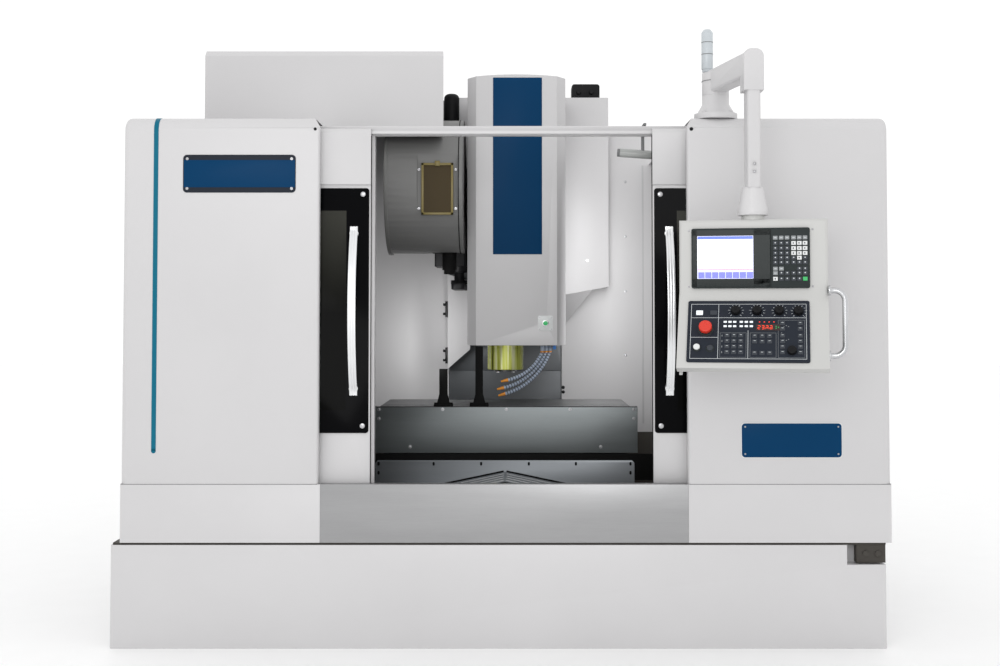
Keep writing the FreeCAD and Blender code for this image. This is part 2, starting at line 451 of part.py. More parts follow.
# ---- doors ----
def make_door(edge, width, inward):
    """A sliding door: welded panel, window opening, groove over the glass, hollow top with a rail hook.

    Inward points from the free edge to the cabinet.
    """
    x0, x1 = sorted((edge, edge + inward * width))

    def rounded(a0, a1, front, back, low, top, radius):
        """A box whose top front edge is rounded."""
        return round_where(block(a0, a1, front, back, low, top), radius, lambda line: runs_along(line, X_AXIS)
                           and centre(line).y < front + 1 and centre(line).z > top - 1)
    door = rounded(x0, x1, DOOR_FRONT, DOOR_FRONT + DOOR_THICK, DOOR_BOTTOM, DOOR_TOP, DOOR_ROUND)
    o0, o1 = sorted((edge + inward * (WINDOW_MARGIN + WINDOW_BORDER),
                     edge + inward * (width - WINDOW_BORDER)))
    opening = block(o0, o1, DOOR_FRONT - 1, DOOR_FRONT + DOOR_THICK + 1, WINDOW_BOTTOM + WINDOW_BORDER / 2,
                    WINDOW_TOP - WINDOW_BORDER / 2)
    back = rounded(x0 + SHEET, x1 - SHEET, DOOR_FRONT + SHEET, DOOR_FRONT + DOOR_THICK + 1, WINDOW_TOP + 24,
                   DOOR_TOP - SHEET, DOOR_ROUND - SHEET)
    groove = block(x0 - 1, x1 + 1, DOOR_FRONT - 1, DOOR_FRONT + 8, WINDOW_TOP + 8, WINDOW_TOP + 17)
    ends = [block(a0, a1, RAIL_FRONT - 5, DOOR_FRONT + DOOR_THICK + 1, RAIL_LOW - 3, DOOR_TOP - SHEET)
            for a0, a1 in ((x0 - 1, x0 + SHEET + 1), (x1 - SHEET - 1, x1 + 1))]
    hook_front = RAIL_FRONT + SHEET + SLIDE_GAP
    hook = block(x0, x1, hook_front, hook_front + SHEET, RAIL_LOW + SHEET + SLIDE_GAP, DOOR_TOP - 1)
    return fuse([cut_all(door, [opening, back, groove] + ends), hook])


def make_window(edge, width, inward):
    """The glass that lies on a door's front, with softly rounded corners."""
    x0, x1 = sorted((edge + inward * WINDOW_MARGIN, edge + inward * (width - WINDOW_MARGIN)))
    glass = block(x0, x1, DOOR_FRONT - WINDOW_THICK, DOOR_FRONT, WINDOW_BOTTOM, WINDOW_TOP)
    return round_where(glass, 12.0, lambda edge: runs_along(edge, Y_AXIS))


def make_handle(x):
    """A bowed pull bar with three ribs along its front and a foot at each end."""
    seat = DOOR_FRONT - WINDOW_THICK
    half = (HANDLE_TOP - HANDLE_BOTTOM) / 2
    middle = (HANDLE_TOP + HANDLE_BOTTOM) / 2
    radius = (half ** 2 + HANDLE_STAND ** 2) / (2 * HANDLE_STAND)
    centre_y = seat - HANDLE_STAND + radius

    def arc_plate(outer, inner, width):
        """The part of a ring, as wide as given, that lies in front of the seat."""
        ring = rod(outer, width, x - width / 2, centre_y, middle, X_AXIS)
        ring = ring.cut(rod(inner, width + 2, x - width / 2 - 1, centre_y, middle, X_AXIS))
        return ring.common(block(x - width, x + width, seat - HANDLE_STAND - 9, seat, HANDLE_BOTTOM - 40,
                                 HANDLE_TOP + 40))
    bar = arc_plate(radius, radius - HANDLE_THICK, HANDLE_WIDTH)
    groove, depth = 4.0, 2.5
    for side in (-1, 1):
        shift = side * HANDLE_WIDTH / 6
        cutter = arc_plate(radius + 1, radius - depth, groove)
        cutter.translate(Vec(shift, 0, 0))
        bar = bar.cut(cutter)
    feet = [block(x - HANDLE_WIDTH / 2, x + HANDLE_WIDTH / 2, seat - 8, seat, z - 22, z + 22)
            for z in (HANDLE_BOTTOM + 24, HANDLE_TOP - 24)]
    return fuse([bar] + feet)


# ---- saddle and table ----
def make_saddle():
    """Cross slide: runs on the bed ways, carries the table ways and the X screw, and holds the Y nut."""
    x0, x1 = AXIS_X - SADDLE_HALF_WIDTH, AXIS_X + SADDLE_HALF_WIDTH
    low = BED_TOP + WAY_HEIGHT + SLIDE_GAP
    body = block(x0, x1, SADDLE_FRONT, SADDLE_BACK, low + 60, SADDLE_SHELF)
    body = body.fuse(block(x0, x1, UPPER_FRONT, SADDLE_BACK, SADDLE_SHELF, SADDLE_TOP))
    foot = block(AXIS_X - 330, AXIS_X + 330, SADDLE_FRONT, SADDLE_BACK, low, low + 61)
    channel = block(x0 + X_BEARING, x1 - X_BEARING, SPINDLE_Y - SCREW_CHANNEL, SPINDLE_Y + SCREW_CHANNEL,
                    X_SCREW_Z - SCREW_CHANNEL + 10, SADDLE_TOP + 1)
    wide, narrow = 200, SCREW_CHANNEL + 30
    relief = [block(x0 - 1, x1 + 1, SPINDLE_Y + y0, SPINDLE_Y + y1, SADDLE_TOP - 20, SADDLE_TOP + 1)
              for y0, y1 in ((-wide, -narrow), (narrow, wide))]
    bore = rod(SCREW_RADIUS + FIT_GAP, x1 - x0 + 2, x0 - 1, SPINDLE_Y, X_SCREW_Z, X_AXIS)
    saddle = cut_all(body.fuse(foot), [channel, bore] + relief)
    nut = block(AXIS_X - NUT_HALF, AXIS_X + NUT_HALF, SPINDLE_Y - NUT_HALF, SPINDLE_Y + NUT_HALF,
                BED_TOP + SLIDE_GAP, low + 1)
    nut = nut.cut(rod(SCREW_RADIUS + FIT_GAP, 2000, AXIS_X, 0, Y_SCREW_Z, Y_AXIS))
    return fuse([saddle, nut])


def roof_cover(y0, y1, apex, nest):
    """A roof-shaped way cover: one sheet bent along its middle line, with short rims turned down.

    Each cover is wider than the one it slides over by a sheet and a gap a side; nest counts those steps.
    """
    half = ROOF_HALF + nest * (SHEET + SLIDE_GAP)
    drop = half * ROOF_SLOPE
    x0, x1 = AXIS_X - half, AXIS_X + half
    eave, rim = apex - drop, apex - drop - ROOF_RIM
    outline = [(x0, eave), (AXIS_X, apex), (x1, eave), (x1, rim),
               (x1 - SHEET, rim), (x1 - SHEET, eave - SHEET + SHEET * ROOF_SLOPE),
               (AXIS_X, apex - SHEET), (x0 + SHEET, eave - SHEET + SHEET * ROOF_SLOPE),
               (x0 + SHEET, rim), (x0, rim)]
    return prism(outline, "Y", y0, y1)


def make_saddle_covers():
    """The saddle's front apron sheet with notched top corners, and the rear roof cover bolted to it."""
    y0, y1 = SADDLE_FRONT - SHEET, SADDLE_FRONT
    inset = 12.0
    outline = [(APRON_X0, APRON_LOW), (APRON_X1, APRON_LOW), (APRON_X1, APRON_TOP - inset),
               (APRON_X1 - inset, APRON_TOP), (APRON_X0 + inset, APRON_TOP), (APRON_X0, APRON_TOP - inset)]
    apron = prism(outline, "Y", y0, y1)
    return fuse([apron, roof_cover(Y_REAR[0], y0, Y_REAR[1], 2)])


def make_fixed_way_covers():
    """The front roof cover on its bulkhead and foot plate, and the lowest plate of the head's way cover."""
    front_end, apex = Y_FRONT
    front = roof_cover(front_end, front_end + Y_COVER_LENGTH, apex, 0)
    half, sunk, inset, foot = 340.0, 1.0, 2.0, 30.0
    drop = half * ROOF_SLOPE
    bulkhead = [(AXIS_X - half, SKIRT_BOTTOM), (AXIS_X + half, SKIRT_BOTTOM), (AXIS_X + half, apex - drop - sunk),
                (AXIS_X, apex - sunk), (AXIS_X - half, apex - drop - sunk)]
    strut = prism(bulkhead, "Y", front_end + inset, front_end + inset + SHEET)
    plate = block(AXIS_X - half, AXIS_X + half, front_end + inset, front_end + inset + foot, SKIRT_BOTTOM,
                  SKIRT_BOTTOM + SHEET)
    y0, low = Z_COVER_FRONT + 2 * COVER_STEP, BED_TOP + WAY_HEIGHT
    lower = [block(WELL_LEFT, WELL_RIGHT, y0, y0 + SHEET, low, Z_LOWER_TOP)]
    lower += [block(x, x + SHEET, y0, COLUMN_FRONT, low, Z_LOWER_TOP)
              for x in (WELL_LEFT, WELL_RIGHT - SHEET)]
    return Part.makeCompound([fuse([front, strut, plate]), fuse(lower)])


def make_table():
    """T-slotted table with the X nut under its middle and a trough round its rim."""
    x0, x1 = AXIS_X - TABLE_LENGTH / 2, AXIS_X + TABLE_LENGTH / 2
    low = SADDLE_TOP + SLIDE_GAP
    table = block(x0, x1, TABLE_FRONT, TABLE_FRONT + TABLE_WIDTH, low, TABLE_TOP)
    middle = TABLE_FRONT + TABLE_WIDTH / 2
    for index in range(SLOT_COUNT):
        y = middle + (index - (SLOT_COUNT - 1) / 2) * SLOT_PITCH
        neck = block(x0 - 1, x1 + 1, y - SLOT_WIDTH / 2, y + SLOT_WIDTH / 2, TABLE_TOP - SLOT_DEPTH,
                     TABLE_TOP + 1)
        under = block(x0 - 1, x1 + 1, y - SLOT_UNDER / 2, y + SLOT_UNDER / 2, TABLE_TOP - SLOT_DEPTH,
                      TABLE_TOP - SLOT_NECK)
        table = cut_all(table, [neck, under])
    nut = block(AXIS_X - NUT_HALF, AXIS_X + NUT_HALF, SPINDLE_Y - NUT_HALF, SPINDLE_Y + NUT_HALF,
                X_SCREW_Z - NUT_HALF + 10, low + 1)
    nut = nut.cut(rod(SCREW_RADIUS + FIT_GAP, 400, AXIS_X - 200, SPINDLE_Y, X_SCREW_Z, X_AXIS))
    return fuse([table, nut])


def make_table_guard():
    """Splash sheet on the table's front, with a returned top lip and side returns."""
    y1 = TABLE_FRONT
    y0 = y1 - 10
    return fuse([block(GUARD_X0, GUARD_X1, y0, y0 + SHEET, GUARD_LOW, GUARD_TOP),
                 block(GUARD_X0, GUARD_X1, y0, y1, GUARD_TOP - SHEET, GUARD_TOP),
                 block(GUARD_X0, GUARD_X0 + SHEET, y0, y1 + 60, GUARD_LOW, GUARD_TOP),
                 block(GUARD_X1 - SHEET, GUARD_X1, y0, y1 + 60, GUARD_LOW, GUARD_TOP),
                 block(GUARD_X0, GUARD_X1, y0, y1, 866, 866 + SHEET)])


def make_posts():
    """Two slim upright posts with splayed feet and bolted bases, clamped to the table."""
    posts = []
    for x0, x1, top in POSTS:
        middle = (x0 + x1) / 2
        base = block(middle - 45, middle + 45, POST_Y - 24, POST_Y + 24, TABLE_TOP, TABLE_TOP + 10)
        flare = [(x0, TABLE_TOP + 60), (x0 - 12, TABLE_TOP + 10), (x1 + 12, TABLE_TOP + 10),
                 (x1, TABLE_TOP + 60)]
        bolts = [hex_head(9, 8, middle + side * 36, POST_Y, TABLE_TOP + 10) for side in (-1, 1)]
        posts.append(fuse([base, prism(flare, "Y", POST_Y - 14, POST_Y + 14),
                           block(x0, x1, POST_Y - 14, POST_Y + 14, TABLE_TOP + 59, top)] + bolts))
    return Part.makeCompound(posts)


def servo(x, y, z, axis, length=200.0, half=62.0):
    """A square servo motor with a rounded can, a smaller encoder cap and a connector, along an axis."""
    can = block(x - half, x + half, y - half, y + half, z, z + length)
    can = round_where(can, 14.0, lambda edge: runs_along(edge, Z_AXIS))
    cap = rod(half * 0.72, 26, x, y, z + length)
    plug = block(x - 16, x + 16, y - half - 20, y - half, z + length - 60, z + length - 20)
    motor = fuse([can, cap, plug])
    if axis != Z_AXIS:
        motor = motor.rotate(Vec(x, FRONT + y, z), Z_AXIS.cross(axis), 90)
    return motor


def make_servo_motors():
    """The Y motor in front of the bed and the Z motor on the column."""
    y_motor = servo(AXIS_X, BED_FRONT, Y_SCREW_Z, -Y_AXIS, 150.0, 50.0)
    z_motor = servo(AXIS_X, Z_SCREW_Y, COLUMN_TOP, Z_AXIS, 114.0)
    return Part.makeCompound([y_motor, z_motor])


def make_screw(x, y, z, axis, length):
    """A ballscrew: its threaded length with a turned-down journal at each end."""
    journal = 12.0
    shape = rod(SCREW_RADIUS, length - 2 * journal, 0, -FRONT, journal)
    shape = fuse([shape, rod(SCREW_RADIUS * 0.7, length, 0, -FRONT, 0)])
    if axis != Z_AXIS:
        shape = shape.rotate(Vec(0, 0, 0), Z_AXIS.cross(axis), 90)
    shape.translate(Vec(x, FRONT + y, z))
    return shape


# ---- spindle head ----
def make_head_casting():
    """Head: slide plate on the column ways, nose with the cartridge bore, motor bridge and Z nut."""
    back = COLUMN_FRONT - Z_WAY_PROUD - SLIDE_GAP
    front = back - 120
    plate = block(AXIS_X - HEAD_MOUNT_HALF, AXIS_X + HEAD_MOUNT_HALF, COVER_BACK + 50, back, HEAD_BOTTOM,
                  HEAD_MOUNT_TOP)
    nose = block(AXIS_X - 140, AXIS_X + 140, SPINDLE_Y - 140, front, HEAD_BOTTOM, CARTRIDGE_TOP + 60)
    nose = round_where(nose, 40.0, lambda edge: runs_along(edge, Z_AXIS) and centre(edge).y < SPINDLE_Y)
    motor_seat = block(AXIS_X - 140, AXIS_X + 140, SPINDLE_Y - 110, front, CARTRIDGE_TOP + 60,
                       CARTRIDGE_TOP + 90)
    nut_gap = SCREW_CHANNEL - 12
    nut = block(AXIS_X - nut_gap, AXIS_X + nut_gap, back - 1, Z_SCREW_Y + NUT_HALF, HEAD_BOTTOM + 240,
                HEAD_BOTTOM + 360)
    nut = nut.cut(rod(SCREW_RADIUS + FIT_GAP, COLUMN_TOP, AXIS_X, Z_SCREW_Y, HEAD_BOTTOM))
    block_low = block(AXIS_X + 100, NOZZLES[-1][0] + 18, SPINDLE_Y - 190, SPINDLE_Y - 108, NOZZLE_TOP,
                      HEAD_BOTTOM + 60)
    head = fuse([plate, nose, motor_seat, nut, block_low])
    return head.cut(rod(CARTRIDGE_RADIUS, 700, AXIS_X, SPINDLE_Y, HEAD_BOTTOM - 1))


def cover_solid(inset, bottom, top, front, back, crown):
    """The head cover's outline: chamfered front corners and a slightly arched top."""
    x0, x1 = COVER_LEFT + inset, COVER_RIGHT - inset
    cham = COVER_CHAMFER - inset * 0.4
    plan = [(x0, back), (x0, front + cham), (x0 + cham, front), (x1 - cham, front), (x1, front + cham),
            (x1, back)]
    body = prism(plan, "Z", bottom, top)
    half = (x1 - x0) / 2
    radius = (half ** 2 + crown ** 2) / (2 * crown)
    arch = rod(radius, back - front, (x0 + x1) / 2, front, top - radius, Y_AXIS)
    return body.common(arch)


def make_head_cover():
    """Folded sheet cover round the head, open below and behind."""
    outer = cover_solid(0, COVER_BOTTOM, COVER_TOP, COVER_FRONT, COVER_BACK, COVER_CROWN)
    inner = cover_solid(SHEET, COVER_BOTTOM - 10, COVER_TOP - SHEET, COVER_FRONT + SHEET, COVER_BACK + 10,
                        COVER_CROWN)
    shell = outer.cut(inner)
    tie = block(COVER_LEFT + SHEET, COVER_RIGHT - SHEET, COVER_BACK - 40, COVER_BACK - 36, HEAD_BOTTOM + 40,
                HEAD_BOTTOM + 300)
    tie = tie.cut(block(AXIS_X - 140, AXIS_X + 140, COVER_BACK - 50, COVER_BACK, HEAD_BOTTOM,
                        HEAD_BOTTOM + 400))
    button_hole = rod(BUTTON_STEM + FIT_GAP, 20, BUTTON_X, COVER_FRONT - 5, BUTTON_Z, Y_AXIS)
    return fuse([shell, tie]).cut(button_hole)


def make_release_button():
    """Green tool release button with its stem through the cover."""
    head = rod(BUTTON_RADIUS, 6, BUTTON_X, COVER_FRONT - 10.3, BUTTON_Z, Y_AXIS)
    return fuse([head, rod(BUTTON_STEM, 24, BUTTON_X, COVER_FRONT - 5, BUTTON_Z, Y_AXIS)])


def make_spindle_motor():
    """Spindle motor over the cartridge: flange, finned square body and fan cap."""
    z0 = CARTRIDGE_TOP + 90
    body = block(AXIS_X - 118, AXIS_X + 118, SPINDLE_Y - 118, SPINDLE_Y + 118, z0, z0 + 460)
    body = round_where(body, 30.0, lambda edge: runs_along(edge, Z_AXIS))
    return fuse([body, rod(96, 70, AXIS_X, SPINDLE_Y, z0 + 460)])


def make_cartridge():
    """Spindle cartridge: flange, nose and the bore that the spindle turns in."""
    body = rod(CARTRIDGE_RADIUS, CARTRIDGE_TOP - CARTRIDGE_BOTTOM, AXIS_X, SPINDLE_Y, CARTRIDGE_BOTTOM)
    body = round_where(body, 5.0, lambda edge: centre(edge).z < CARTRIDGE_BOTTOM + 1)
    flange = rod(CARTRIDGE_RADIUS + 30, 16, AXIS_X, SPINDLE_Y, HEAD_BOTTOM - 16)
    return fuse([body, flange]).cut(rod(SPINDLE_RADIUS + FIT_GAP, 900, AXIS_X, SPINDLE_Y, CARTRIDGE_BOTTOM - 1))


def make_spindle():
    """Spindle: nose with the tool taper, two drive keys and the shaft up to the motor."""
    shaft = rod(SPINDLE_RADIUS, CARTRIDGE_TOP - 20 - SPINDLE_NOSE, AXIS_X, SPINDLE_Y, SPINDLE_NOSE)
    small = TAPER_GAUGE_RADIUS - TAPER_RATE * TAPER_DEPTH
    nose = Vec(AXIS_X, FRONT + SPINDLE_Y, SPINDLE_NOSE)
    taper = Part.makeCone(TAPER_GAUGE_RADIUS, small, TAPER_DEPTH, nose)
    drawbar = rod(small - 1, 60, AXIS_X, SPINDLE_Y, SPINDLE_NOSE + TAPER_DEPTH - 1)
    keys = [block(AXIS_X + side * 38 - 8, AXIS_X + side * 38 + 8, SPINDLE_Y - 8, SPINDLE_Y + 8,
                  SPINDLE_NOSE - 8, SPINDLE_NOSE) for side in (-1, 1)]
    return fuse([cut_all(shaft, [taper, drawbar])] + keys)


def make_z_cover_upper():
    """Upper plate of the head's way cover, hung from the slide plate."""
    y0, x0, x1 = Z_COVER_FRONT, WELL_LEFT + 4, WELL_RIGHT - 4
    return fuse([block(x0, x1, y0, y0 + SHEET, Z_UPPER_BOTTOM, HEAD_BOTTOM),
                 block(x0, x1, y0, y0 + COVER_STEP - SLIDE_GAP, Z_UPPER_BOTTOM, Z_UPPER_BOTTOM + SHEET),
                 block(x0 + 26, x1 - 26, COVER_BACK + 60, y0 + SHEET, HEAD_BOTTOM - SHEET, HEAD_BOTTOM)])


def make_z_cover_mid():
    """Middle plate of the head's way cover, carried between the upper and the fixed plate."""
    y0, x0, x1 = Z_COVER_FRONT + COVER_STEP, WELL_LEFT + 2, WELL_RIGHT - 2
    return fuse([block(x0, x1, y0, y0 + SHEET, Z_MID_BOTTOM, Z_MID_TOP),
                 block(x0, x1, y0, y0 + COVER_STEP - SLIDE_GAP, Z_MID_BOTTOM, Z_MID_BOTTOM + SHEET)])


def make_nozzles():
    """Three jointed coolant hoses: a fitting under the head, a bent hose and a tapered tip."""
    hoses = []
    for index, (x, tip_x, tip_z) in enumerate(NOZZLES):
        y = SPINDLE_Y - 172 + 20 * index
        top = Vec(x, FRONT + y, NOZZLE_TOP)
        low = top - Vec(0, 0, 30)
        tip = Vec(tip_x, FRONT + y - 8, tip_z)
        chord = tip - low
        across = Vec(-chord.z, 0, chord.x).normalize()
        bend = (low + tip) / 2 + across * chord.Length * NOZZLE_SAG
        arc = Part.Arc(low, bend, tip)
        path = Part.Wire([arc.toShape()])
        start = arc.tangent(arc.FirstParameter)[0]
        end = arc.tangent(arc.LastParameter)[0]
        ring = Part.Wire([Part.Circle(low, start, NOZZLE_RADIUS).toShape()])
        hose = path.makePipeShell([ring], True, True)
        nozzle = Part.makeCone(NOZZLE_RADIUS, 3.5, NOZZLE_TIP, tip, end)
        hoses.append(fuse([hose, nozzle, Part.makeCylinder(9, 32, top, Vec(0, 0, -1))]))
    return Part.makeCompound(hoses)


# ---- tool magazine ----
def make_magazine_housing():
    """Drum housing on its side: rolled shell, end plates, a flat land with the window, a slot for the pot."""
    length = MAG_X1 - MAG_X0
    drum = rod(MAG_RADIUS, length, MAG_X0, MAG_Y, MAG_Z, X_AXIS)
    drum = drum.fuse(rod(MAG_RADIUS + 8, 16, MAG_X0, MAG_Y, MAG_Z, X_AXIS))
    drum = drum.cut(rod(MAG_RADIUS - MAG_WALL, length - 16, MAG_X0 + 8, MAG_Y, MAG_Z, X_AXIS))
    land = math.sqrt(MAG_RADIUS ** 2 - 128 ** 2)
    flat = block(WIN_X0 - 20, WIN_X1 + 20, MAG_Y - MAG_RADIUS - 10, MAG_Y - land, MAG_Z - 200, MAG_Z + 200)
    window = block(WIN_X0 + 12, WIN_X1 - 12, MAG_Y - MAG_RADIUS, MAG_Y, WIN_Z0 + 12, WIN_Z1 - 12)
    slot = block(POT_PIVOT_X - 24, MAG_X1 + 1, MAG_Y - 46, MAG_Y + 46, MAG_Z - MAG_RADIUS - 1, 1830)
    ears = [block(POT_PIVOT_X - 15, POT_PIVOT_X + 15, MAG_Y + side * 41.5 - 8.5, MAG_Y + side * 41.5 + 8.5,
                  POT_PIVOT_Z - 16, 1722) for side in (-1, 1)]
    pin = rod(6, 96, POT_PIVOT_X, MAG_Y - 48, POT_PIVOT_Z, Y_AXIS)
    axle = rod(30, 68, MAG_X0 + 7, MAG_Y, MAG_Z, X_AXIS)
    return fuse([cut_all(drum, [flat, window, slot]), axle, pin] + ears)


def make_carousel():
    """Turning disc with a ring of tool pots."""
    disc = rod(CAROUSEL_RADIUS, 20, MAG_X0 + 30, MAG_Y, MAG_Z, X_AXIS)
    pots = []
    for index in range(POT_COUNT):
        angle = 2 * math.pi * (index + 0.5) / POT_COUNT
        y, z = MAG_Y + POT_PITCH_RADIUS * math.sin(angle), MAG_Z - POT_PITCH_RADIUS * math.cos(angle)
        pot = rod(31, 120, MAG_X0 + 49, y, z, X_AXIS)
        pots.append(pot.cut(rod(20, 80, MAG_X0 + 49 + 50, y, z, X_AXIS)))
    return fuse([disc] + pots).cut(rod(30 + FIT_GAP, 80, MAG_X0 + 20, MAG_Y, MAG_Z, X_AXIS))


def make_tool_pot():
    """The pot that has swung down for a tool change, on its bracket and pivot barrel."""
    pot = rod(POT_RADIUS, POT_TOP - POT_BOTTOM, POT_X, MAG_Y, POT_BOTTOM)
    nub = rod(POT_RADIUS - 8, 21, POT_X, MAG_Y, POT_BOTTOM - 20)
    arm = block(POT_PIVOT_X, POT_X + 20, MAG_Y - 22, MAG_Y + 22, POT_TOP - 12, POT_TOP + 8)
    barrel = rod(14, 60, POT_PIVOT_X, MAG_Y - 30, POT_PIVOT_Z, Y_AXIS)
    shape = fuse([pot, nub, arm, barrel])
    shape = shape.cut(rod(6 + FIT_GAP, 80, POT_PIVOT_X, MAG_Y - 40, POT_PIVOT_Z, Y_AXIS))
    return shape.cut(rod(19, 70, POT_X, MAG_Y, POT_BOTTOM - 21))


def make_atc_drive():
    """Tool changer drive: bracket from the column, cam box, gear motor with a domed cap, shaft guide."""
    box_x0, box_y0, box_y1 = BRACKET_X1, 1310.0, 1566.0
    box_z0, box_z1 = 1620.0, 2150.0
    cam = soft_box(box_x0, MAG_X1 - 5, box_y0, box_y1, box_z0, box_z1, 12.0, Z_AXIS)
    collar = rod(44, 30, ARM_X, ARM_Y, box_z0 - 30)
    cam = fuse([cam, collar]).cut(rod(ARM_SHAFT + FIT_GAP, box_z1 - box_z0 - 60, ARM_X, ARM_Y, box_z0 - 40))
    motor_x, motor_y, can, top = -258.0, 1420.0, 40.0, 2529.0
    motor = rod(can, top - box_z1 - 40, motor_x, motor_y, box_z1 + 40)
    motor = round_where(motor, 26.0, lambda edge: centre(edge).z > top - 1)
    terminal_box = block(motor_x - 28, motor_x + 28, motor_y - 66, motor_y - can + 6, box_z1 + 130,
                         box_z1 + 220)
    motor = fuse([motor, terminal_box])
    flange = block(motor_x - 44, motor_x + 44, motor_y - 54, motor_y + 54, box_z1, box_z1 + 40)
    bracket = block(BRACKET_X0, BRACKET_X1, MAG_Y + 200, COLUMN_FRONT + 260, BRACKET_Z0, BRACKET_Z1)
    bracket = bracket.cut(block(BRACKET_X0 + 12, BRACKET_X1 + 1, MAG_Y, COLUMN_FRONT + 20, BRACKET_Z0 + 12,
                                BRACKET_Z1 - 12))
    bracket = bracket.cut(rod(MAG_RADIUS, 800, MAG_X0 - 10, MAG_Y, MAG_Z, X_AXIS))
    return Part.makeCompound([cam, flange, motor] + bracket.Solids)


def make_change_arm():
    """Double-ended change arm with a half-round gripper at each end, and its shaft up into the cam box."""
    half_width, thick, mouth = 34.0, 30.0, 26.0
    arm = block(ARM_X - half_width, ARM_X + half_width, ARM_Y - ARM_HALF_LENGTH, ARM_Y + ARM_HALF_LENGTH,
                ARM_Z, ARM_Z + thick)
    arm = round_where(arm, 20.0, lambda edge: runs_along(edge, Z_AXIS))
    mouths = [rod(mouth, thick + 2, ARM_X - half_width, ARM_Y + side * (ARM_HALF_LENGTH - 42), ARM_Z - 1)
              for side in (-1, 1)]
    shaft = rod(ARM_SHAFT, 300, ARM_X, ARM_Y, ARM_Z + thick - 1)
    return fuse([cut_all(arm, mouths), rod(44, 20, ARM_X, ARM_Y, ARM_Z + thick), shaft])


def make_column_covers():
    """Flank cover with its sloped gusset on the right; guard panel and upper sheet on the left."""
    x0, x1, y0, top = 325.0, 577.0, 1600.0, 2540.0
    inner_low, outer_low = 1476.0, 1521.0
    outline = [(x0, inner_low), (x1, outer_low), (x1, top), (x0, top)]
    hollow = [(x0 + SHEET, inner_low - 9), (x1 - SHEET, outer_low - 9), (x1 - SHEET, top - SHEET),
              (x0 + SHEET, top - SHEET)]
    flank = prism(outline, "Y", y0, REAR_WALL).cut(prism(hollow, "Y", y0 + SHEET, REAR_WALL + 1))
    ring = [Vec(x0, FRONT + y0, inner_low + 2), Vec(x0 + 167, FRONT + y0, inner_low + 31),
            Vec(x0, FRONT + REAR_WALL, 1293)]
    gusset = Part.Face(Part.makePolygon(ring + ring[:1])).extrude(Vec(0, SHEET, 0))
    left, right, guard_low, guard_top = WELL_LEFT, -166.0, 1081.0, 1588.0
    panel = [(left, guard_top), (right, guard_top - 35), (right, guard_low + 105), (left, guard_low)]
    guard = prism(panel, "Y", y0, y0 + SHEET)
    upper = block(left, right, y0, y0 + SHEET, guard_top + 112, top)
    fold = block(left, left + SHEET, y0, REAR_WALL + 10, guard_low, top)
    return Part.makeCompound([fuse([flank, gusset]), fuse([guard, upper, fold])])


# ---- pendant and its arm ----
def make_pedestal():
    """Flanged post on the right cabinet's top that the swing arm turns on."""
    post = rod(HUB_RADIUS, HUB_BOTTOM - SLIDE_GAP - CABINET_TOP, PIVOT_X, PIVOT_Y, CABINET_TOP)
    flange = rod(PEDESTAL_FLANGE, 24, PIVOT_X, PIVOT_Y, CABINET_TOP)
    cone = Part.makeCone(80, HUB_RADIUS, 40, Vec(PIVOT_X, FRONT + PIVOT_Y, CABINET_TOP + 24))
    spigot = rod(SPIGOT_RADIUS, 60, PIVOT_X, PIVOT_Y, HUB_BOTTOM - 1)
    bolts = [hex_head(9, 8, PIVOT_X + 80 * math.cos(math.radians(a)), PIVOT_Y + 80 * math.sin(math.radians(a)),
                      CABINET_TOP + 23) for a in range(45, 360, 90)]
    return fuse([post, flange, cone, spigot] + bolts)


def make_swing_arm():
    """Hub, boxed arm, elbow block and the drop tube with its flared flange."""
    hub = rod(HUB_RADIUS, 96, PIVOT_X, PIVOT_Y, HUB_BOTTOM)
    reach = Vec(PENDANT_X - PIVOT_X, PENDANT_Y - PIVOT_Y, 0)
    length = reach.Length
    arm = block(PIVOT_X, PIVOT_X + length, PIVOT_Y - 37, PIVOT_Y + 37, HUB_BOTTOM + 10, HUB_BOTTOM + 108)
    arm = round_where(arm, 12.0, lambda edge: runs_along(edge, X_AXIS))
    turn = math.degrees(math.atan2(reach.y, reach.x))
    arm = arm.rotate(Vec(PIVOT_X, FRONT + PIVOT_Y, 0), Z_AXIS, turn)
    elbow_low, elbow_top = HUB_BOTTOM - 48, HUB_BOTTOM + 117
    elbow = block(PENDANT_X - 40, PENDANT_X + 40, PENDANT_Y - 46, PENDANT_Y + 46, elbow_low, elbow_top)
    elbow = round_where(elbow, 32.0, lambda edge: runs_along(edge, Y_AXIS) and centre(edge).z > elbow_top - 1)
    elbow = round_where(elbow, 6.0, lambda edge: centre(edge).z > elbow_low + 1 and not runs_along(edge, Y_AXIS))
    tube = soft_box(PENDANT_X - 27, PENDANT_X + 27, PENDANT_Y - 42, PENDANT_Y + 42, TUBE_BOTTOM - 1,
                    elbow_low + 1, 12.0, Z_AXIS)
    flare = Part.makeCone(59, 40, TUBE_BOTTOM - FLANGE_BOTTOM - 20, Vec(PENDANT_X, FRONT + PENDANT_Y,
                                                                       FLANGE_BOTTOM + 20))
    flange = rod(59, 20, PENDANT_X, PENDANT_Y, FLANGE_BOTTOM)
    whole = fuse([hub, arm, elbow, tube, flare, flange])
    return whole.cut(rod(SPIGOT_RADIUS + FIT_GAP, 62, PIVOT_X, PIVOT_Y, HUB_BOTTOM - 2))


def on_desk(across, down, out=0.0):
    """A point on the sloped desk: across to the right, down the slope and out from its face."""
    return DESK_TOP + Vec(across, 0, 0) + DESK_DOWN * down + DESK_OUT * out


def place_pendant(shape):
    """Turns a shape made about the swivel axis by the pendant's yaw and sets it under the arm."""
    shape = shape.rotate(Vec(0, 0, 0), Z_AXIS, PENDANT_YAW)
    shape.translate(Vec(PENDANT_X, FRONT + PENDANT_Y, 0))
    return shape


def local_box(x0, x1, y0, y1, z0, z1):
    """A box in the pendant's own frame, whose origin is on the swivel axis."""
    return Part.makeBox(x1 - x0, y1 - y0, z1 - z0, Vec(x0, y0, z0))


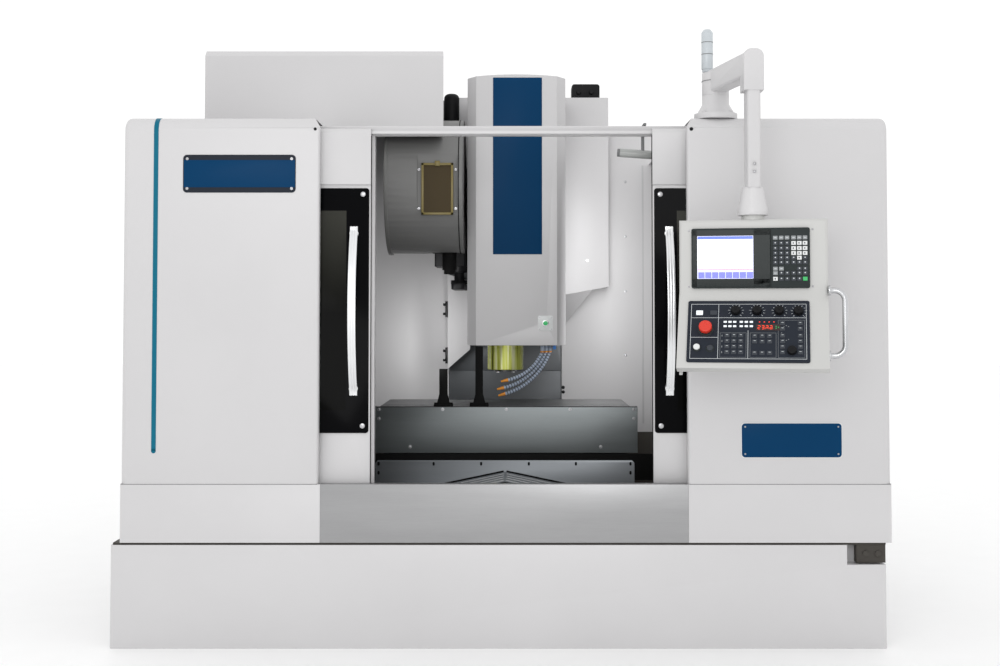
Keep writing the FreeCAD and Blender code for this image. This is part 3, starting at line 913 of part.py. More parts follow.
def desk_slab(x0, x1, top, low, thick, out=0.0):
    """A slab lying on the desk between two distances down its slope."""
    ring = [on_desk(x0, top, out), on_desk(x1, top, out), on_desk(x1, low, out), on_desk(x0, low, out)]
    return Part.Face(Part.makePolygon(ring + ring[:1])).extrude(DESK_OUT * thick)


def stem_hole(control, radius):
    """The hole that a control's stem passes down."""
    point = on_desk(control[0], control[1], PANEL_THICK + 1)
    return Part.makeCylinder(radius + FIT_GAP, POCKET_DEPTH + PANEL_THICK, point, -DESK_OUT)


def stem_holes():
    """Every stem hole in the desk."""
    holes = [stem_hole(ESTOP, ESTOP[2]), stem_hole(START, START[2])]
    return holes + [stem_hole(knob, KNOB_STEM) for knob in KNOBS]


def make_pendant_housing():
    """Pendant box: upright upper part, sloped desk, swivel collar on top and a cable hook below."""
    half = PENDANT_WIDTH / 2
    foot = on_desk(0, DESK_LENGTH)
    side = [Vec(-half, PENDANT_FACE, PENDANT_TOP), Vec(-half, PENDANT_FACE, PENDANT_BREAK),
            Vec(-half, foot.y, foot.z), Vec(-half, foot.y + 44, foot.z - 16), Vec(-half, PENDANT_BACK, 1390),
            Vec(-half, PENDANT_BACK, PENDANT_TOP)]
    body = Part.Face(Part.makePolygon(side + side[:1])).extrude(Vec(PENDANT_WIDTH, 0, 0))
    body = round_where(body, 14.0, lambda edge: runs_along(edge, Z_AXIS) or (
        runs_along(edge, X_AXIS) and edge.BoundBox.ZMin > PENDANT_TOP - 1))
    collar = Part.makeCylinder(45, FLANGE_BOTTOM - SLIDE_GAP - PENDANT_TOP + 5, Vec(0, 0, PENDANT_TOP - 5))
    hook = fuse([local_box(-half + 6, -half + 16, -110, -98, 1150, 1230),
                 local_box(-half + 6, -half + 16, -140, -98, 1140, 1152)])
    body = fuse([body, collar, hook])
    return place_pendant(cut_all(body, stem_holes()))


def make_display_unit():
    """Display and keypad unit screwed to the upright face."""
    bezel = local_box(-236, 217, PENDANT_FACE - 8, PENDANT_FACE, 1475, 1709)
    bezel = round_where(bezel, 8.0, lambda edge: runs_along(edge, Y_AXIS))
    screen = local_box(-218, 7, PENDANT_FACE - 9, PENDANT_FACE - 5, 1510, 1682)
    return place_pendant(bezel.cut(screen))


def make_operator_panel():
    """Machine operator's panel on the desk, drilled for its controls."""
    panel = desk_slab(-248, 214, 18, DESK_LENGTH - 24, PANEL_THICK)
    panel = round_where(panel, 8.0, lambda edge: runs_along(edge, DESK_OUT))
    return place_pendant(cut_all(panel, stem_holes()))


def make_pendant_handle():
    """D-shaped tube handle on the pendant's right side, on two feet."""
    x, out, y, radius, bend = PENDANT_WIDTH / 2, 62.0, -60.0, 11.0, 40.0
    low, high = 1215.0, 1465.0
    corner = bend * (1 - math.cos(math.radians(45)))
    points = [Vec(x, y, low), Vec(x + out - bend, y, low), Vec(x + out, y, low + bend), Vec(x + out, y, high - bend),
              Vec(x + out - bend, y, high), Vec(x, y, high)]
    edges = [Part.LineSegment(points[0], points[1]),
             Part.Arc(points[1], Vec(x + out - corner, y, low + corner), points[2]),
             Part.LineSegment(points[2], points[3]),
             Part.Arc(points[3], Vec(x + out - corner, y, high - corner), points[4]),
             Part.LineSegment(points[4], points[5])]
    path = Part.Wire([edge.toShape() for edge in edges])
    tube = path.makePipeShell([Part.Wire([Part.Circle(points[0], X_AXIS, radius).toShape()])], True, False)
    feet = [Part.makeCylinder(20, 8, Vec(x, y, z), X_AXIS) for z in (low, high)]
    return place_pendant(fuse([tube] + feet))


def make_push_control(control, lift):
    """A push button: its head stands off the panel by its travel, its stem runs into the desk."""
    across, down, stem, head, height = control
    base = on_desk(across, down, PANEL_THICK + lift)
    cap = Part.makeCylinder(head, height, base, DESK_OUT)
    cap = cap.makeFillet(min(4.0, height / 3), [cap.Edges[0], cap.Edges[2]])
    shaft = Part.makeCylinder(stem, lift + PANEL_THICK + 4, base, -DESK_OUT)
    return place_pendant(fuse([cap, shaft]))


def make_knob(knob):
    """A fluted rotary knob with a pointer ridge on its face."""
    base = on_desk(knob[0], knob[1], PANEL_THICK + SLIDE_GAP)
    body = Part.makeCone(KNOB_RADIUS, KNOB_RADIUS - 3, KNOB_HEIGHT, base, DESK_OUT)
    stem = Part.makeCylinder(KNOB_STEM, PANEL_THICK + 6, base, -DESK_OUT)
    ridge = desk_slab(knob[0] - 2.5, knob[0] + 2.5, knob[1] - KNOB_RADIUS + 5, knob[1] + 2, 3,
                      PANEL_THICK + KNOB_HEIGHT)
    return place_pendant(fuse([body, stem, ridge]))


def make_signal_tower():
    """Signal lamp: a pole and base on the cabinet, with its round lamp column and cap."""
    pole, seat, lamp, cap = 240.0, 12.0, 160.0, 14.0
    seat_low = CABINET_TOP + pole - 14
    lamp_low = seat_low + seat
    return fuse([rod(TOWER_BASE, 8, TOWER_X, TOWER_Y, CABINET_TOP), rod(12, pole, TOWER_X, TOWER_Y, CABINET_TOP),
                 rod(22, seat, TOWER_X, TOWER_Y, seat_low), rod(25, lamp, TOWER_X, TOWER_Y, lamp_low),
                 Part.makeCone(25, 15, cap, Vec(TOWER_X, FRONT + TOWER_Y, lamp_low + lamp))])


PIECES = {
    "bed_casting": make_bed,
    "column_casting": make_column,
    "levelling_feet": make_feet,
    "coolant_tank": make_tank,
    "chip_pan": make_chip_pan,
    "left_cabinet": lambda: make_cabinet(LEFT_SIDE, LEFT_INNER),
    "right_cabinet": lambda: make_cabinet(RIGHT_SIDE, RIGHT_INNER),
    "lower_skirts": make_skirts,
    "front_apron": make_front_apron,
    "header_beam": make_header,
    "rear_panels": make_rear_panels,
    "magazine_hood": make_hood,
    "electrical_cabinet": make_electrical_cabinet,
    "cabinet_door": make_cabinet_door,
    "servo_motors": make_servo_motors,
    "column_covers": make_column_covers,
    "fixed_way_covers": make_fixed_way_covers,
    "left_door": lambda: make_door(LEFT_DOOR_EDGE, LEFT_DOOR_WIDTH, -1),
    "left_window": lambda: make_window(LEFT_DOOR_EDGE, LEFT_DOOR_WIDTH, -1),
    "left_handle": lambda: make_handle(LEFT_HANDLE_X),
    "right_door": lambda: make_door(RIGHT_DOOR_EDGE, RIGHT_DOOR_WIDTH, 1),
    "right_window": lambda: make_window(RIGHT_DOOR_EDGE, RIGHT_DOOR_WIDTH, 1),
    "right_handle": lambda: make_handle(RIGHT_HANDLE_X),
    "saddle": make_saddle,
    "saddle_covers": make_saddle_covers,
    "x_servo_motor": lambda: servo(AXIS_X - SADDLE_HALF_WIDTH, SPINDLE_Y, X_SCREW_Z, -X_AXIS, 150.0, 50.0),
    "y_cover_mid": lambda: roof_cover(Y_MID[0], Y_MID[0] + Y_COVER_LENGTH, Y_MID[1], 1),
    "table": make_table,
    "table_guard": make_table_guard,
    "table_posts": make_posts,
    "x_ballscrew": lambda: make_screw(AXIS_X - SADDLE_HALF_WIDTH + 1, SPINDLE_Y, X_SCREW_Z, X_AXIS,
                                      2 * SADDLE_HALF_WIDTH - 2),
    "y_ballscrew": lambda: make_screw(AXIS_X, BED_FRONT + 1, Y_SCREW_Z, Y_AXIS,
                                      Y_SCREW_END + BEARING_THICK - BED_FRONT - 2),
    "z_ballscrew": lambda: make_screw(AXIS_X, Z_SCREW_Y, Z_SCREW_BOTTOM + 1, Z_AXIS,
                                      COLUMN_TOP - Z_SCREW_BOTTOM - 2),
    "head_casting": make_head_casting,
    "head_cover": make_head_cover,
    "tool_release_button": make_release_button,
    "spindle_motor": make_spindle_motor,
    "spindle_cartridge": make_cartridge,
    "spindle": make_spindle,
    "z_cover_upper": make_z_cover_upper,
    "z_cover_mid": make_z_cover_mid,
    "coolant_nozzles": make_nozzles,
    "magazine_housing": make_magazine_housing,
    "carousel": make_carousel,
    "tool_pot": make_tool_pot,
    "atc_drive": make_atc_drive,
    "change_arm": make_change_arm,
    "arm_pedestal": make_pedestal,
    "swing_arm": make_swing_arm,
    "signal_tower": make_signal_tower,
    "pendant_housing": make_pendant_housing,
    "display_unit": make_display_unit,
    "operator_panel": make_operator_panel,
    "pendant_handle": make_pendant_handle,
    "estop_button": lambda: make_push_control(ESTOP, ESTOP_TRAVEL + 2),
    "start_button": lambda: make_push_control(START, START_TRAVEL + 1),
}
for number, knob_place in enumerate(KNOBS, start=1):
    PIECES[f"knob_{number}"] = lambda place=knob_place: make_knob(place)


def main():
    """Builds every piece and writes one STEP file for each."""
    os.makedirs("parts", exist_ok=True)
    for name, make in PIECES.items():
        shape = make()
        shape.exportStep(f"parts/{name}.step")
        box = shape.BoundBox
        print(f"{name}: {len(shape.Solids)} solids, valid {shape.isValid()}, {shape.Volume / 1e9:.4f} m3, "
              f"x {box.XMin:.0f}..{box.XMax:.0f} y {box.YMin:.0f}..{box.YMax:.0f} "
              f"z {box.ZMin:.0f}..{box.ZMax:.0f}")


if __name__ == "__main__":
    main()
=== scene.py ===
import json
import logging
import math
from dataclasses import dataclass, field
from enum import Enum
from typing import Any, Iterable, Sequence

import bmesh
import bpy
from mathutils import Matrix, Vector


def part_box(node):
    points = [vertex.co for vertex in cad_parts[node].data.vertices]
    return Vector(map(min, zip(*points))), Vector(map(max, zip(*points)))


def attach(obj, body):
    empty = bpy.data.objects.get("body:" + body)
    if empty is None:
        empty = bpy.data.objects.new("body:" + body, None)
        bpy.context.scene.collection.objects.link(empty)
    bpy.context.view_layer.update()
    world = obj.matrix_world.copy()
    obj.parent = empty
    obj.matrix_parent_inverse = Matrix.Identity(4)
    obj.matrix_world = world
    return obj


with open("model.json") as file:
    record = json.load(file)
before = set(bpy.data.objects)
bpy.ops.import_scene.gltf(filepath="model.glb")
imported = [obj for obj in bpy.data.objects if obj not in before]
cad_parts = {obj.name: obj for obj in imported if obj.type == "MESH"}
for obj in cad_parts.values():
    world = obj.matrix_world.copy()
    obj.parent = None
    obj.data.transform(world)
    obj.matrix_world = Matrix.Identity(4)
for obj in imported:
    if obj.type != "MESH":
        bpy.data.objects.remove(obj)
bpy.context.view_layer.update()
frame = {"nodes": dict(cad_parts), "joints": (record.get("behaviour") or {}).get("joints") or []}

LOG = logging.getLogger("machining_centre")
Point = Sequence[float]

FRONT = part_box("lower_skirts")[0].y
"""The enclosure's front plane; places behind it are given as depths."""


def at(x: float, depth: float, z: float) -> Vector:
    """A place given by its depth behind the enclosure's front plane."""
    return Vector((x, FRONT + depth, z))


class Way(Enum):
    """The direction that a round shape or a brushed grain runs in."""

    X = 0
    Y = 1
    Z = 2

    def turn(self) -> Matrix:
        """The rotation that takes +Z to this direction."""
        if self is Way.X:
            return Matrix.Rotation(math.pi / 2, 4, "Y")
        if self is Way.Y:
            return Matrix.Rotation(-math.pi / 2, 4, "X")
        return Matrix.Identity(4)


# ---------------------------------------------------------------- shaders
class Socket:
    """An output socket or a number, on which Python's operators build Math nodes."""

    def __init__(self, graph: "Graph", value: Any) -> None:
        """Keeps the graph and the socket or number.

        Args:
            graph: The material's graph.
            value: A node's output socket, or a plain number.
        """
        self.graph = graph
        self.value = value

    def _join(self, operation: str, *others: Any) -> "Socket":
        """One Math node on this value and the others."""
        inputs = dict(enumerate([self, *others]))
        return self.graph.node("ShaderNodeMath", {"operation": operation}, inputs)

    def __add__(self, other: Any) -> "Socket":
        """Sum."""
        return self._join("ADD", other)

    __radd__ = __add__

    def __mul__(self, other: Any) -> "Socket":
        """Product."""
        return self._join("MULTIPLY", other)

    __rmul__ = __mul__

    def __sub__(self, other: Any) -> "Socket":
        """Difference."""
        return self._join("SUBTRACT", other)

    def __rsub__(self, other: Any) -> "Socket":
        """Difference from a number on the left."""
        return self._join("MULTIPLY", -1.0) + other

    def __gt__(self, other: Any) -> "Socket":
        """1 where this is greater, else 0."""
        return self._join("GREATER_THAN", other)

    def __lt__(self, other: Any) -> "Socket":
        """1 where this is less, else 0."""
        return self._join("LESS_THAN", other)

    def fraction(self) -> "Socket":
        """The part after the decimal point."""
        return self._join("FRACT")

    def within(self, low: float, high: float) -> "Socket":
        """1 between two numbers, else 0."""
        return (self > low) * (self < high)


class Graph:
    """A material's node graph, built by expressions."""

    def __init__(self, name: str) -> None:
        """Starts an empty material.

        Args:
            name: The material's name.
        """
        self.material = bpy.data.materials.new(name)
        self.material.use_nodes = True
        self.tree = self.material.node_tree
        self.tree.nodes.clear()

    def node(self, kind: str, settings: dict[str, Any], inputs: dict[Any, Any], output: Any = 0,
             stops: Iterable[tuple[float, Point]] = ()) -> Socket:
        """Adds one node.

        Args:
            kind: The node's type.
            settings: Its properties, set before its sockets.
            inputs: Values or links for its input sockets, by name or index.
            output: The output socket to give back, by name or index.
            stops: A colour ramp's added stops, each a position and a colour.

        Returns:
            The output, wrapped, or an empty wrapper for a node without outputs.
        """
        made = self.tree.nodes.new(kind)
        for key, value in settings.items():
            setattr(made, key, value)
        for position, colour in stops:
            made.color_ramp.elements.new(position).color = colour
        for key, value in inputs.items():
            if isinstance(value, Socket):
                value = value.value
            if isinstance(value, bpy.types.NodeSocket):
                self.tree.links.new(value, made.inputs[key])
            else:
                made.inputs[key].default_value = value
        return Socket(self, made.outputs[output] if made.outputs else None)

    def place(self) -> Socket:
        """Object coordinates."""
        return self.node("ShaderNodeTexCoord", {}, {}, "Object")

    def axis(self, way: Way) -> Socket:
        """One object coordinate."""
        return self.node("ShaderNodeSeparateXYZ", {}, {0: self.place()}, way.value)

    def noise(self, scale: float, detail: float = 3.0, stretch: Point = (1, 1, 1),
              rough: float = 0.5) -> Socket:
        """Noise from 0 to 1 on object coordinates, squeezed along each axis by the stretch."""
        place = self.node("ShaderNodeMapping", {}, {0: self.place(), "Scale": stretch})
        return self.node("ShaderNodeTexNoise", {}, {"Vector": place, "Scale": scale, "Detail": detail,
                                                    "Roughness": rough})

    def colour_mix(self, factor: Any, first: Any, second: Any) -> Socket:
        """The first colour where the factor is 0 and the second where it is 1."""
        return self.node("ShaderNodeMix", {"data_type": "RGBA"}, {0: factor, 6: first, 7: second}, 2)

    def bump(self, height: Socket, strength: float, distance: float) -> Socket:
        """A bumped normal."""
        return self.node("ShaderNodeBump", {}, {"Height": height, "Strength": strength, "Distance": distance})

    def close(self, **sockets: Any) -> bpy.types.Material:
        """Ends the graph in a Principled shader.

        Args:
            **sockets: Values or links, by socket name with underscores for spaces.

        Returns:
            The finished material.
        """
        inputs = {name.replace("_", " "): value for name, value in sockets.items()}
        shader = self.node("ShaderNodeBsdfPrincipled", {}, inputs)
        self.node("ShaderNodeOutputMaterial", {}, {"Surface": shader})
        return self.material


def srgb(red: int, green: int, blue: int) -> tuple[float, float, float, float]:
    """A linear colour from a display colour out of 255."""
    def linear(value: int) -> float:
        """One channel."""
        part = value / 255
        return part / 12.92 if part <= 0.04045 else ((part + 0.055) / 1.055) ** 2.4
    return (linear(red), linear(green), linear(blue), 1.0)


def shade(colour: Point, factor: float) -> tuple[float, float, float, float]:
    """A colour made lighter or darker."""
    return (colour[0] * factor, colour[1] * factor, colour[2] * factor, 1.0)


@dataclass(frozen=True)
class Paint:
    """Stoved enamel on sheet or castings: fine orange peel, faint drift of tone and dulled patches."""

    name: str
    colour: Point
    roughness: float = 0.36
    peel: float = 0.10
    drift: float = 0.05
    coat: float = 0.05
    gloss: float = 0.35

    def build(self) -> bpy.types.Material:
        """The material."""
        graph = Graph(self.name)
        peel = graph.noise(420.0, 2.0)
        drift = graph.noise(1.7, 4.0)
        handled = graph.noise(9.0, 5.0, (1, 1, 0.35))
        tone = graph.colour_mix(drift, shade(self.colour, 1 - self.drift), shade(self.colour, 1 + self.drift))
        rough = handled * 0.10 + drift * 0.06 + (self.roughness - 0.08)
        return graph.close(Base_Color=tone, Roughness=rough, Coat_Weight=self.coat, Coat_Roughness=0.25,
                           Specular_IOR_Level=self.gloss, Normal=graph.bump(peel, self.peel, 0.0006))


@dataclass(frozen=True)
class Brushed:
    """Metal with a one-way grain: long hairlines, broader cloudy streaks and a few deeper scratches."""

    name: str
    colour: Point
    way: Way = Way.X
    roughness: float = 0.34
    depth: float = 0.25
    metal: float = 0.85

    def build(self) -> bpy.types.Material:
        """The material."""
        graph = Graph(self.name)
        stretch = [1.0, 1.0, 1.0]
        stretch[self.way.value] = 0.012
        hair = graph.noise(900.0, 3.0, stretch, 0.7)
        cloud = graph.noise(22.0, 4.0, [value ** 0.5 for value in stretch])
        patch = graph.noise(3.0, 3.0)
        tone = graph.colour_mix(hair * 0.55 + cloud * 0.45, shade(self.colour, 0.80),
                                shade(self.colour, 1.16))
        rough = cloud * 0.16 + patch * 0.10 + (self.roughness - 0.13)
        return graph.close(Base_Color=tone, Metallic=self.metal, Roughness=rough,
                           Normal=graph.bump(hair, self.depth, 0.0004))


@dataclass(frozen=True)
class Casting:
    """Painted or bare cast iron with its sandy skin and darker hollows."""

    name: str
    colour: Point
    roughness: float = 0.6
    metal: float = 0.0

    def build(self) -> bpy.types.Material:
        """The material."""
        graph = Graph(self.name)
        sand = graph.noise(260.0, 6.0, rough=0.65)
        wave = graph.noise(14.0, 4.0)
        tone = graph.colour_mix(wave, shade(self.colour, 0.86), shade(self.colour, 1.12))
        return graph.close(Base_Color=tone, Metallic=self.metal,
                           Roughness=sand * 0.12 + (self.roughness - 0.06),
                           Normal=graph.bump(sand * 0.7 + wave * 0.3, 0.35, 0.0012))


@dataclass(frozen=True)
class Ground:
    """Ground or scraped steel: fine crossing marks, oil film and small bright nicks."""

    name: str
    colour: Point
    roughness: float = 0.28

    def build(self) -> bpy.types.Material:
        """The material."""
        graph = Graph(self.name)
        long_marks = graph.noise(700.0, 2.0, (0.03, 1, 1))
        cross = graph.noise(500.0, 2.0, (1, 0.05, 1))
        oil = graph.noise(7.0, 4.0)
        tone = graph.colour_mix(oil, shade(self.colour, 0.82), shade(self.colour, 1.14))
        return graph.close(Base_Color=tone, Metallic=1.0, Roughness=oil * 0.18 + (self.roughness - 0.06),
                           Normal=graph.bump(long_marks * 0.6 + cross * 0.4, 0.15, 0.0003))


@dataclass(frozen=True)
class Plastic:
    """Moulded or screen-printed plastic with a fine texture and faint polish wear."""

    name: str
    colour: Point
    roughness: float = 0.4
    grain: float = 0.12
    glow: float = 0.0
    gloss: float = 0.5

    def build(self) -> bpy.types.Material:
        """The material."""
        graph = Graph(self.name)
        grain = graph.noise(1500.0, 2.0)
        polish = graph.noise(35.0, 4.0)
        tone = graph.colour_mix(polish, shade(self.colour, 0.93), shade(self.colour, 1.06))
        extra = {"Emission_Color": tone, "Emission_Strength": self.glow} if self.glow else {}
        return graph.close(Base_Color=tone, Roughness=polish * 0.14 + (self.roughness - 0.07),
                           Specular_IOR_Level=self.gloss, Normal=graph.bump(grain, self.grain, 0.0002),
                           **extra)


@dataclass(frozen=True)
class DarkGlass:
    """Toughened window glass with a black printed border round a smoky clear field, which carries a painted
    reflection: it darkens to near black towards the bottom.
    """

    name: str
    field_low: Point
    field_high: Point
    smoke: Point = (0.042, 0.042, 0.036, 1)
    border: Point = (0.0025, 0.0025, 0.003, 1)
    painted_reflection_heights: Point = (1.38, 1.78)

    def build(self) -> bpy.types.Material:
        """The material."""
        graph = Graph(self.name)
        inside = graph.axis(Way.X).within(self.field_low[0], self.field_high[0]) * graph.axis(Way.Z).within(
            self.field_low[1], self.field_high[1])
        ripple = graph.noise(2.6, 3.0, (1, 1, 0.4))
        # Painted reflection: below the lower height the smoky field is near black, above the upper height it
        # has its full tone.
        low, high = self.painted_reflection_heights
        height = graph.axis(Way.Z)
        ramp = graph.node("ShaderNodeMapRange", {}, {"Value": height, "From Min": low, "From Max": high})
        smoke = graph.colour_mix(ripple, shade(self.smoke, 0.75), shade(self.smoke, 1.25))
        smoke = graph.colour_mix(ramp, shade(self.smoke, 0.03), smoke)
        return graph.close(Base_Color=graph.colour_mix(inside, self.border, smoke),
                           Roughness=ripple * 0.05 + 0.09, Specular_IOR_Level=0.03,
                           Normal=graph.bump(ripple, 0.05, 0.004))


@dataclass(frozen=True)
class PaintedReflectionSleeve:
    """The polished cartridge sleeve: its own yellow green tone, with painted reflections of its ribs as bands
    of dark, olive and bright yellow green running up it.
    """

    name: str
    bands: tuple[tuple[float, Point], ...] = (
        (0.34, (0.10, 0.11, 0.02, 1)), (0.42, (0.46, 0.50, 0.08, 1)), (0.52, (0.66, 0.70, 0.14, 1)),
        (0.64, (0.88, 0.90, 0.50, 1)))

    def build(self) -> bpy.types.Material:
        """The material."""
        graph = Graph(self.name)
        streak = graph.noise(46.0, 2.0, (1, 1, 0.03))
        # Painted reflections: the vertical streaks pick the dark, olive and bright bands.
        ramp = graph.node("ShaderNodeValToRGB", {}, {0: streak}, stops=self.bands)
        return graph.close(Base_Color=ramp, Metallic=0.35, Roughness=streak * 0.12 + 0.18)


@dataclass(frozen=True)
class Screen:
    """A lit display: pale work area with plain blocks, rows and bars of colour, and no lettering."""

    name: str
    corner: Point
    right: Point
    up: Point
    size: Point
    paper: Point = (0.62, 0.63, 0.80, 1)
    blocks: tuple[tuple[Point, Point, Point], ...] = (
        ((0, 1), (0.93, 1), (0.05, 0.10, 0.42, 1)), ((0, 0.55), (0.86, 0.93), (0.75, 0.76, 0.86, 1)),
        ((0, 0.42), (0.30, 0.84), (0.78, 0.78, 0.90, 1)), ((0.45, 0.98), (0.56, 0.84), (0.85, 0.86, 0.95, 1)),
        ((0.45, 0.98), (0.30, 0.52), (0.70, 0.74, 0.90, 1)), ((0, 1), (0.20, 0.215), (0.70, 0.03, 0.05, 1)),
        ((0, 1), (0, 0.15), (0.12, 0.13, 0.50, 1)))

    def build(self) -> bpy.types.Material:
        """The material."""
        graph = Graph(self.name)
        maths = "ShaderNodeVectorMath"
        shifted = graph.node(maths, {"operation": "SUBTRACT"}, {0: graph.place(), 1: self.corner})
        across = graph.node(maths, {"operation": "DOT_PRODUCT"}, {0: shifted, 1: self.right}, 1)
        above = graph.node(maths, {"operation": "DOT_PRODUCT"}, {0: shifted, 1: self.up}, 1)
        u, v = across * (1 / self.size[0]), above * (1 / self.size[1])
        picture = self.paper
        for across_span, up_span, colour in self.blocks:
            picture = graph.colour_mix(u.within(*across_span) * v.within(*up_span), picture, colour)
        rows = (v * 26.0).fraction() > 0.55
        words = graph.noise(170.0, 1.0, (1, 1, 0.2)) > 0.52
        text = rows * words * u.within(0.03, 0.40) * v.within(0.32, 0.82)
        picture = graph.colour_mix(text * 0.6, picture, (0.08, 0.09, 0.25, 1))
        keys = ((u * 8.0).fraction() < 0.08) * (v < 0.15)
        picture = graph.colour_mix(keys, picture, (0.5, 0.55, 0.9, 1))
        return graph.close(Base_Color=picture, Roughness=0.12, Emission_Color=picture, Emission_Strength=0.75)


WHITE = srgb(199, 198, 199)
BLUE = srgb(0, 54, 92)


class Finishes:
    """Builds each finish once and hands it out by name."""

    def __init__(self) -> None:
        """Lists every finish of the machine."""
        glass_inset = 0.095
        low_z, high_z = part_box("left_window")[0].z + glass_inset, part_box("left_window")[1].z - glass_inset
        panes = {}
        for side in ("left", "right"):
            low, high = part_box(f"{side}_window")
            panes[side] = DarkGlass(f"{side}_window_glass", (low.x + glass_inset, low_z),
                                    (high.x - glass_inset, high_z))
        listed = [
            Paint("enclosure_paint", WHITE),
            Paint("pendant_paint", srgb(188, 188, 186), 0.42, 0.2),
            Paint("magazine_paint", srgb(116, 116, 115), 0.45, 0.2),
            Paint("black_paint", (0.008, 0.008, 0.009, 1), 0.45, 0.3, coat=0.0, gloss=0.15),
            Paint("pan_paint", srgb(66, 63, 59), 0.5, 0.3, coat=0.0, gloss=0.2),
            Paint("stripe_paint", srgb(6, 100, 124), 0.3, coat=0.0, gloss=0.15),
            Paint("plate_blue", BLUE, 0.38, 0.05, 0.03, 0.0, 0.08),
            Paint("seam_grey", srgb(120, 121, 122), 0.6),
            Paint("fold_grey", srgb(186, 186, 187), 0.5),
            Casting("casting_paint", srgb(104, 107, 110)),
            Casting("saddle_paint", srgb(44, 46, 48)),
            Casting("nozzle_hose", srgb(168, 180, 198), 0.45),
            Plastic("hose_core", srgb(78, 86, 98), 0.5),
            Brushed("apron_steel", srgb(160, 160, 161), Way.X, 0.36),
            Brushed("apron_grey", srgb(138, 142, 146), Way.X, 0.42, 0.2, 0.6),
            Brushed("guard_steel", srgb(122, 127, 128), Way.X, 0.40, 0.2, 0.7),
            Brushed("cover_steel", srgb(82, 85, 88), Way.X, 0.45, 0.2, 0.3),
            Brushed("drawn_aluminium", srgb(226, 227, 228), Way.Z, 0.3, 0.2, 0.75),
            Ground("table_iron", srgb(120, 121, 122), 0.34),
            Ground("bright_steel", srgb(196, 197, 199), 0.22),
            Plastic("lamp_tube", srgb(168, 170, 168), 0.25, 0.02),
            Plastic("bezel_plastic", srgb(46, 51, 51), 0.42, gloss=0.1),
            Plastic("panel_print", srgb(40, 44, 52), 0.4, gloss=0.08),
            Plastic("key_dark", srgb(58, 62, 68), 0.4, gloss=0.2),
            Plastic("key_pale", srgb(214, 216, 216), 0.4),
            Plastic("key_grey", srgb(132, 136, 138), 0.4),
            Plastic("key_lit", srgb(226, 232, 236), 0.35, 0.05, 0.3),
            Plastic("screen_gloss", srgb(30, 36, 36), 0.12, 0.02, gloss=0.15),
            Plastic("line_white", srgb(200, 204, 206), 0.5),
            Plastic("knob_black", srgb(20, 20, 22), 0.35, gloss=0.15),
            Plastic("estop_red", srgb(206, 48, 30), 0.28),
            Plastic("release_green", srgb(24, 170, 90), 0.3, 0.05, 0.15),
            Plastic("key_green", srgb(40, 170, 90), 0.35),
            Plastic("tip_orange", srgb(236, 150, 40), 0.35),
            Plastic("frame_amber", srgb(118, 104, 48), 0.35),
            Plastic("digits_red", srgb(230, 60, 30), 0.3, 0.02, 1.6),
            Plastic("digits_back", (0.02, 0.004, 0.003, 1), 0.2, 0.02),
            Plastic("light_red", srgb(220, 50, 40), 0.3, 0.02, 0.8),
            Plastic("rubber_black", (0.006, 0.006, 0.006, 1), 0.7, 0.3, gloss=0.08),
            DarkGlass("magazine_glass", (-9, -9), (9, 9), (0.060, 0.044, 0.022, 1), painted_reflection_heights=(0.0, 0.1)),
            PaintedReflectionSleeve("cartridge_painted_reflections"),
            Plastic("tower_plastic", srgb(190, 196, 200), 0.25),
            Plastic("fitting_blue", srgb(30, 110, 190), 0.35),
            Brushed("screw_steel", srgb(176, 176, 178), Way.X, 0.3, 0.1, 0.9),
            panes["left"], panes["right"],
        ]
        self.listed = {finish.name: finish for finish in listed}
        self.made: dict[str, bpy.types.Material] = {}

    def __getitem__(self, name: str) -> bpy.types.Material:
        """The material with this name, built the first time it is asked for."""
        if name not in self.made:
            self.made[name] = self.listed[name].build()
        return self.made[name]


# ---------------------------------------------------------------- shapes
SHARP_ABOVE = math.radians(40)
"""Edges that turn by more than this are rounded."""
SMOOTH_BELOW = math.radians(35)
"""Edges that turn by less than this shade smooth."""


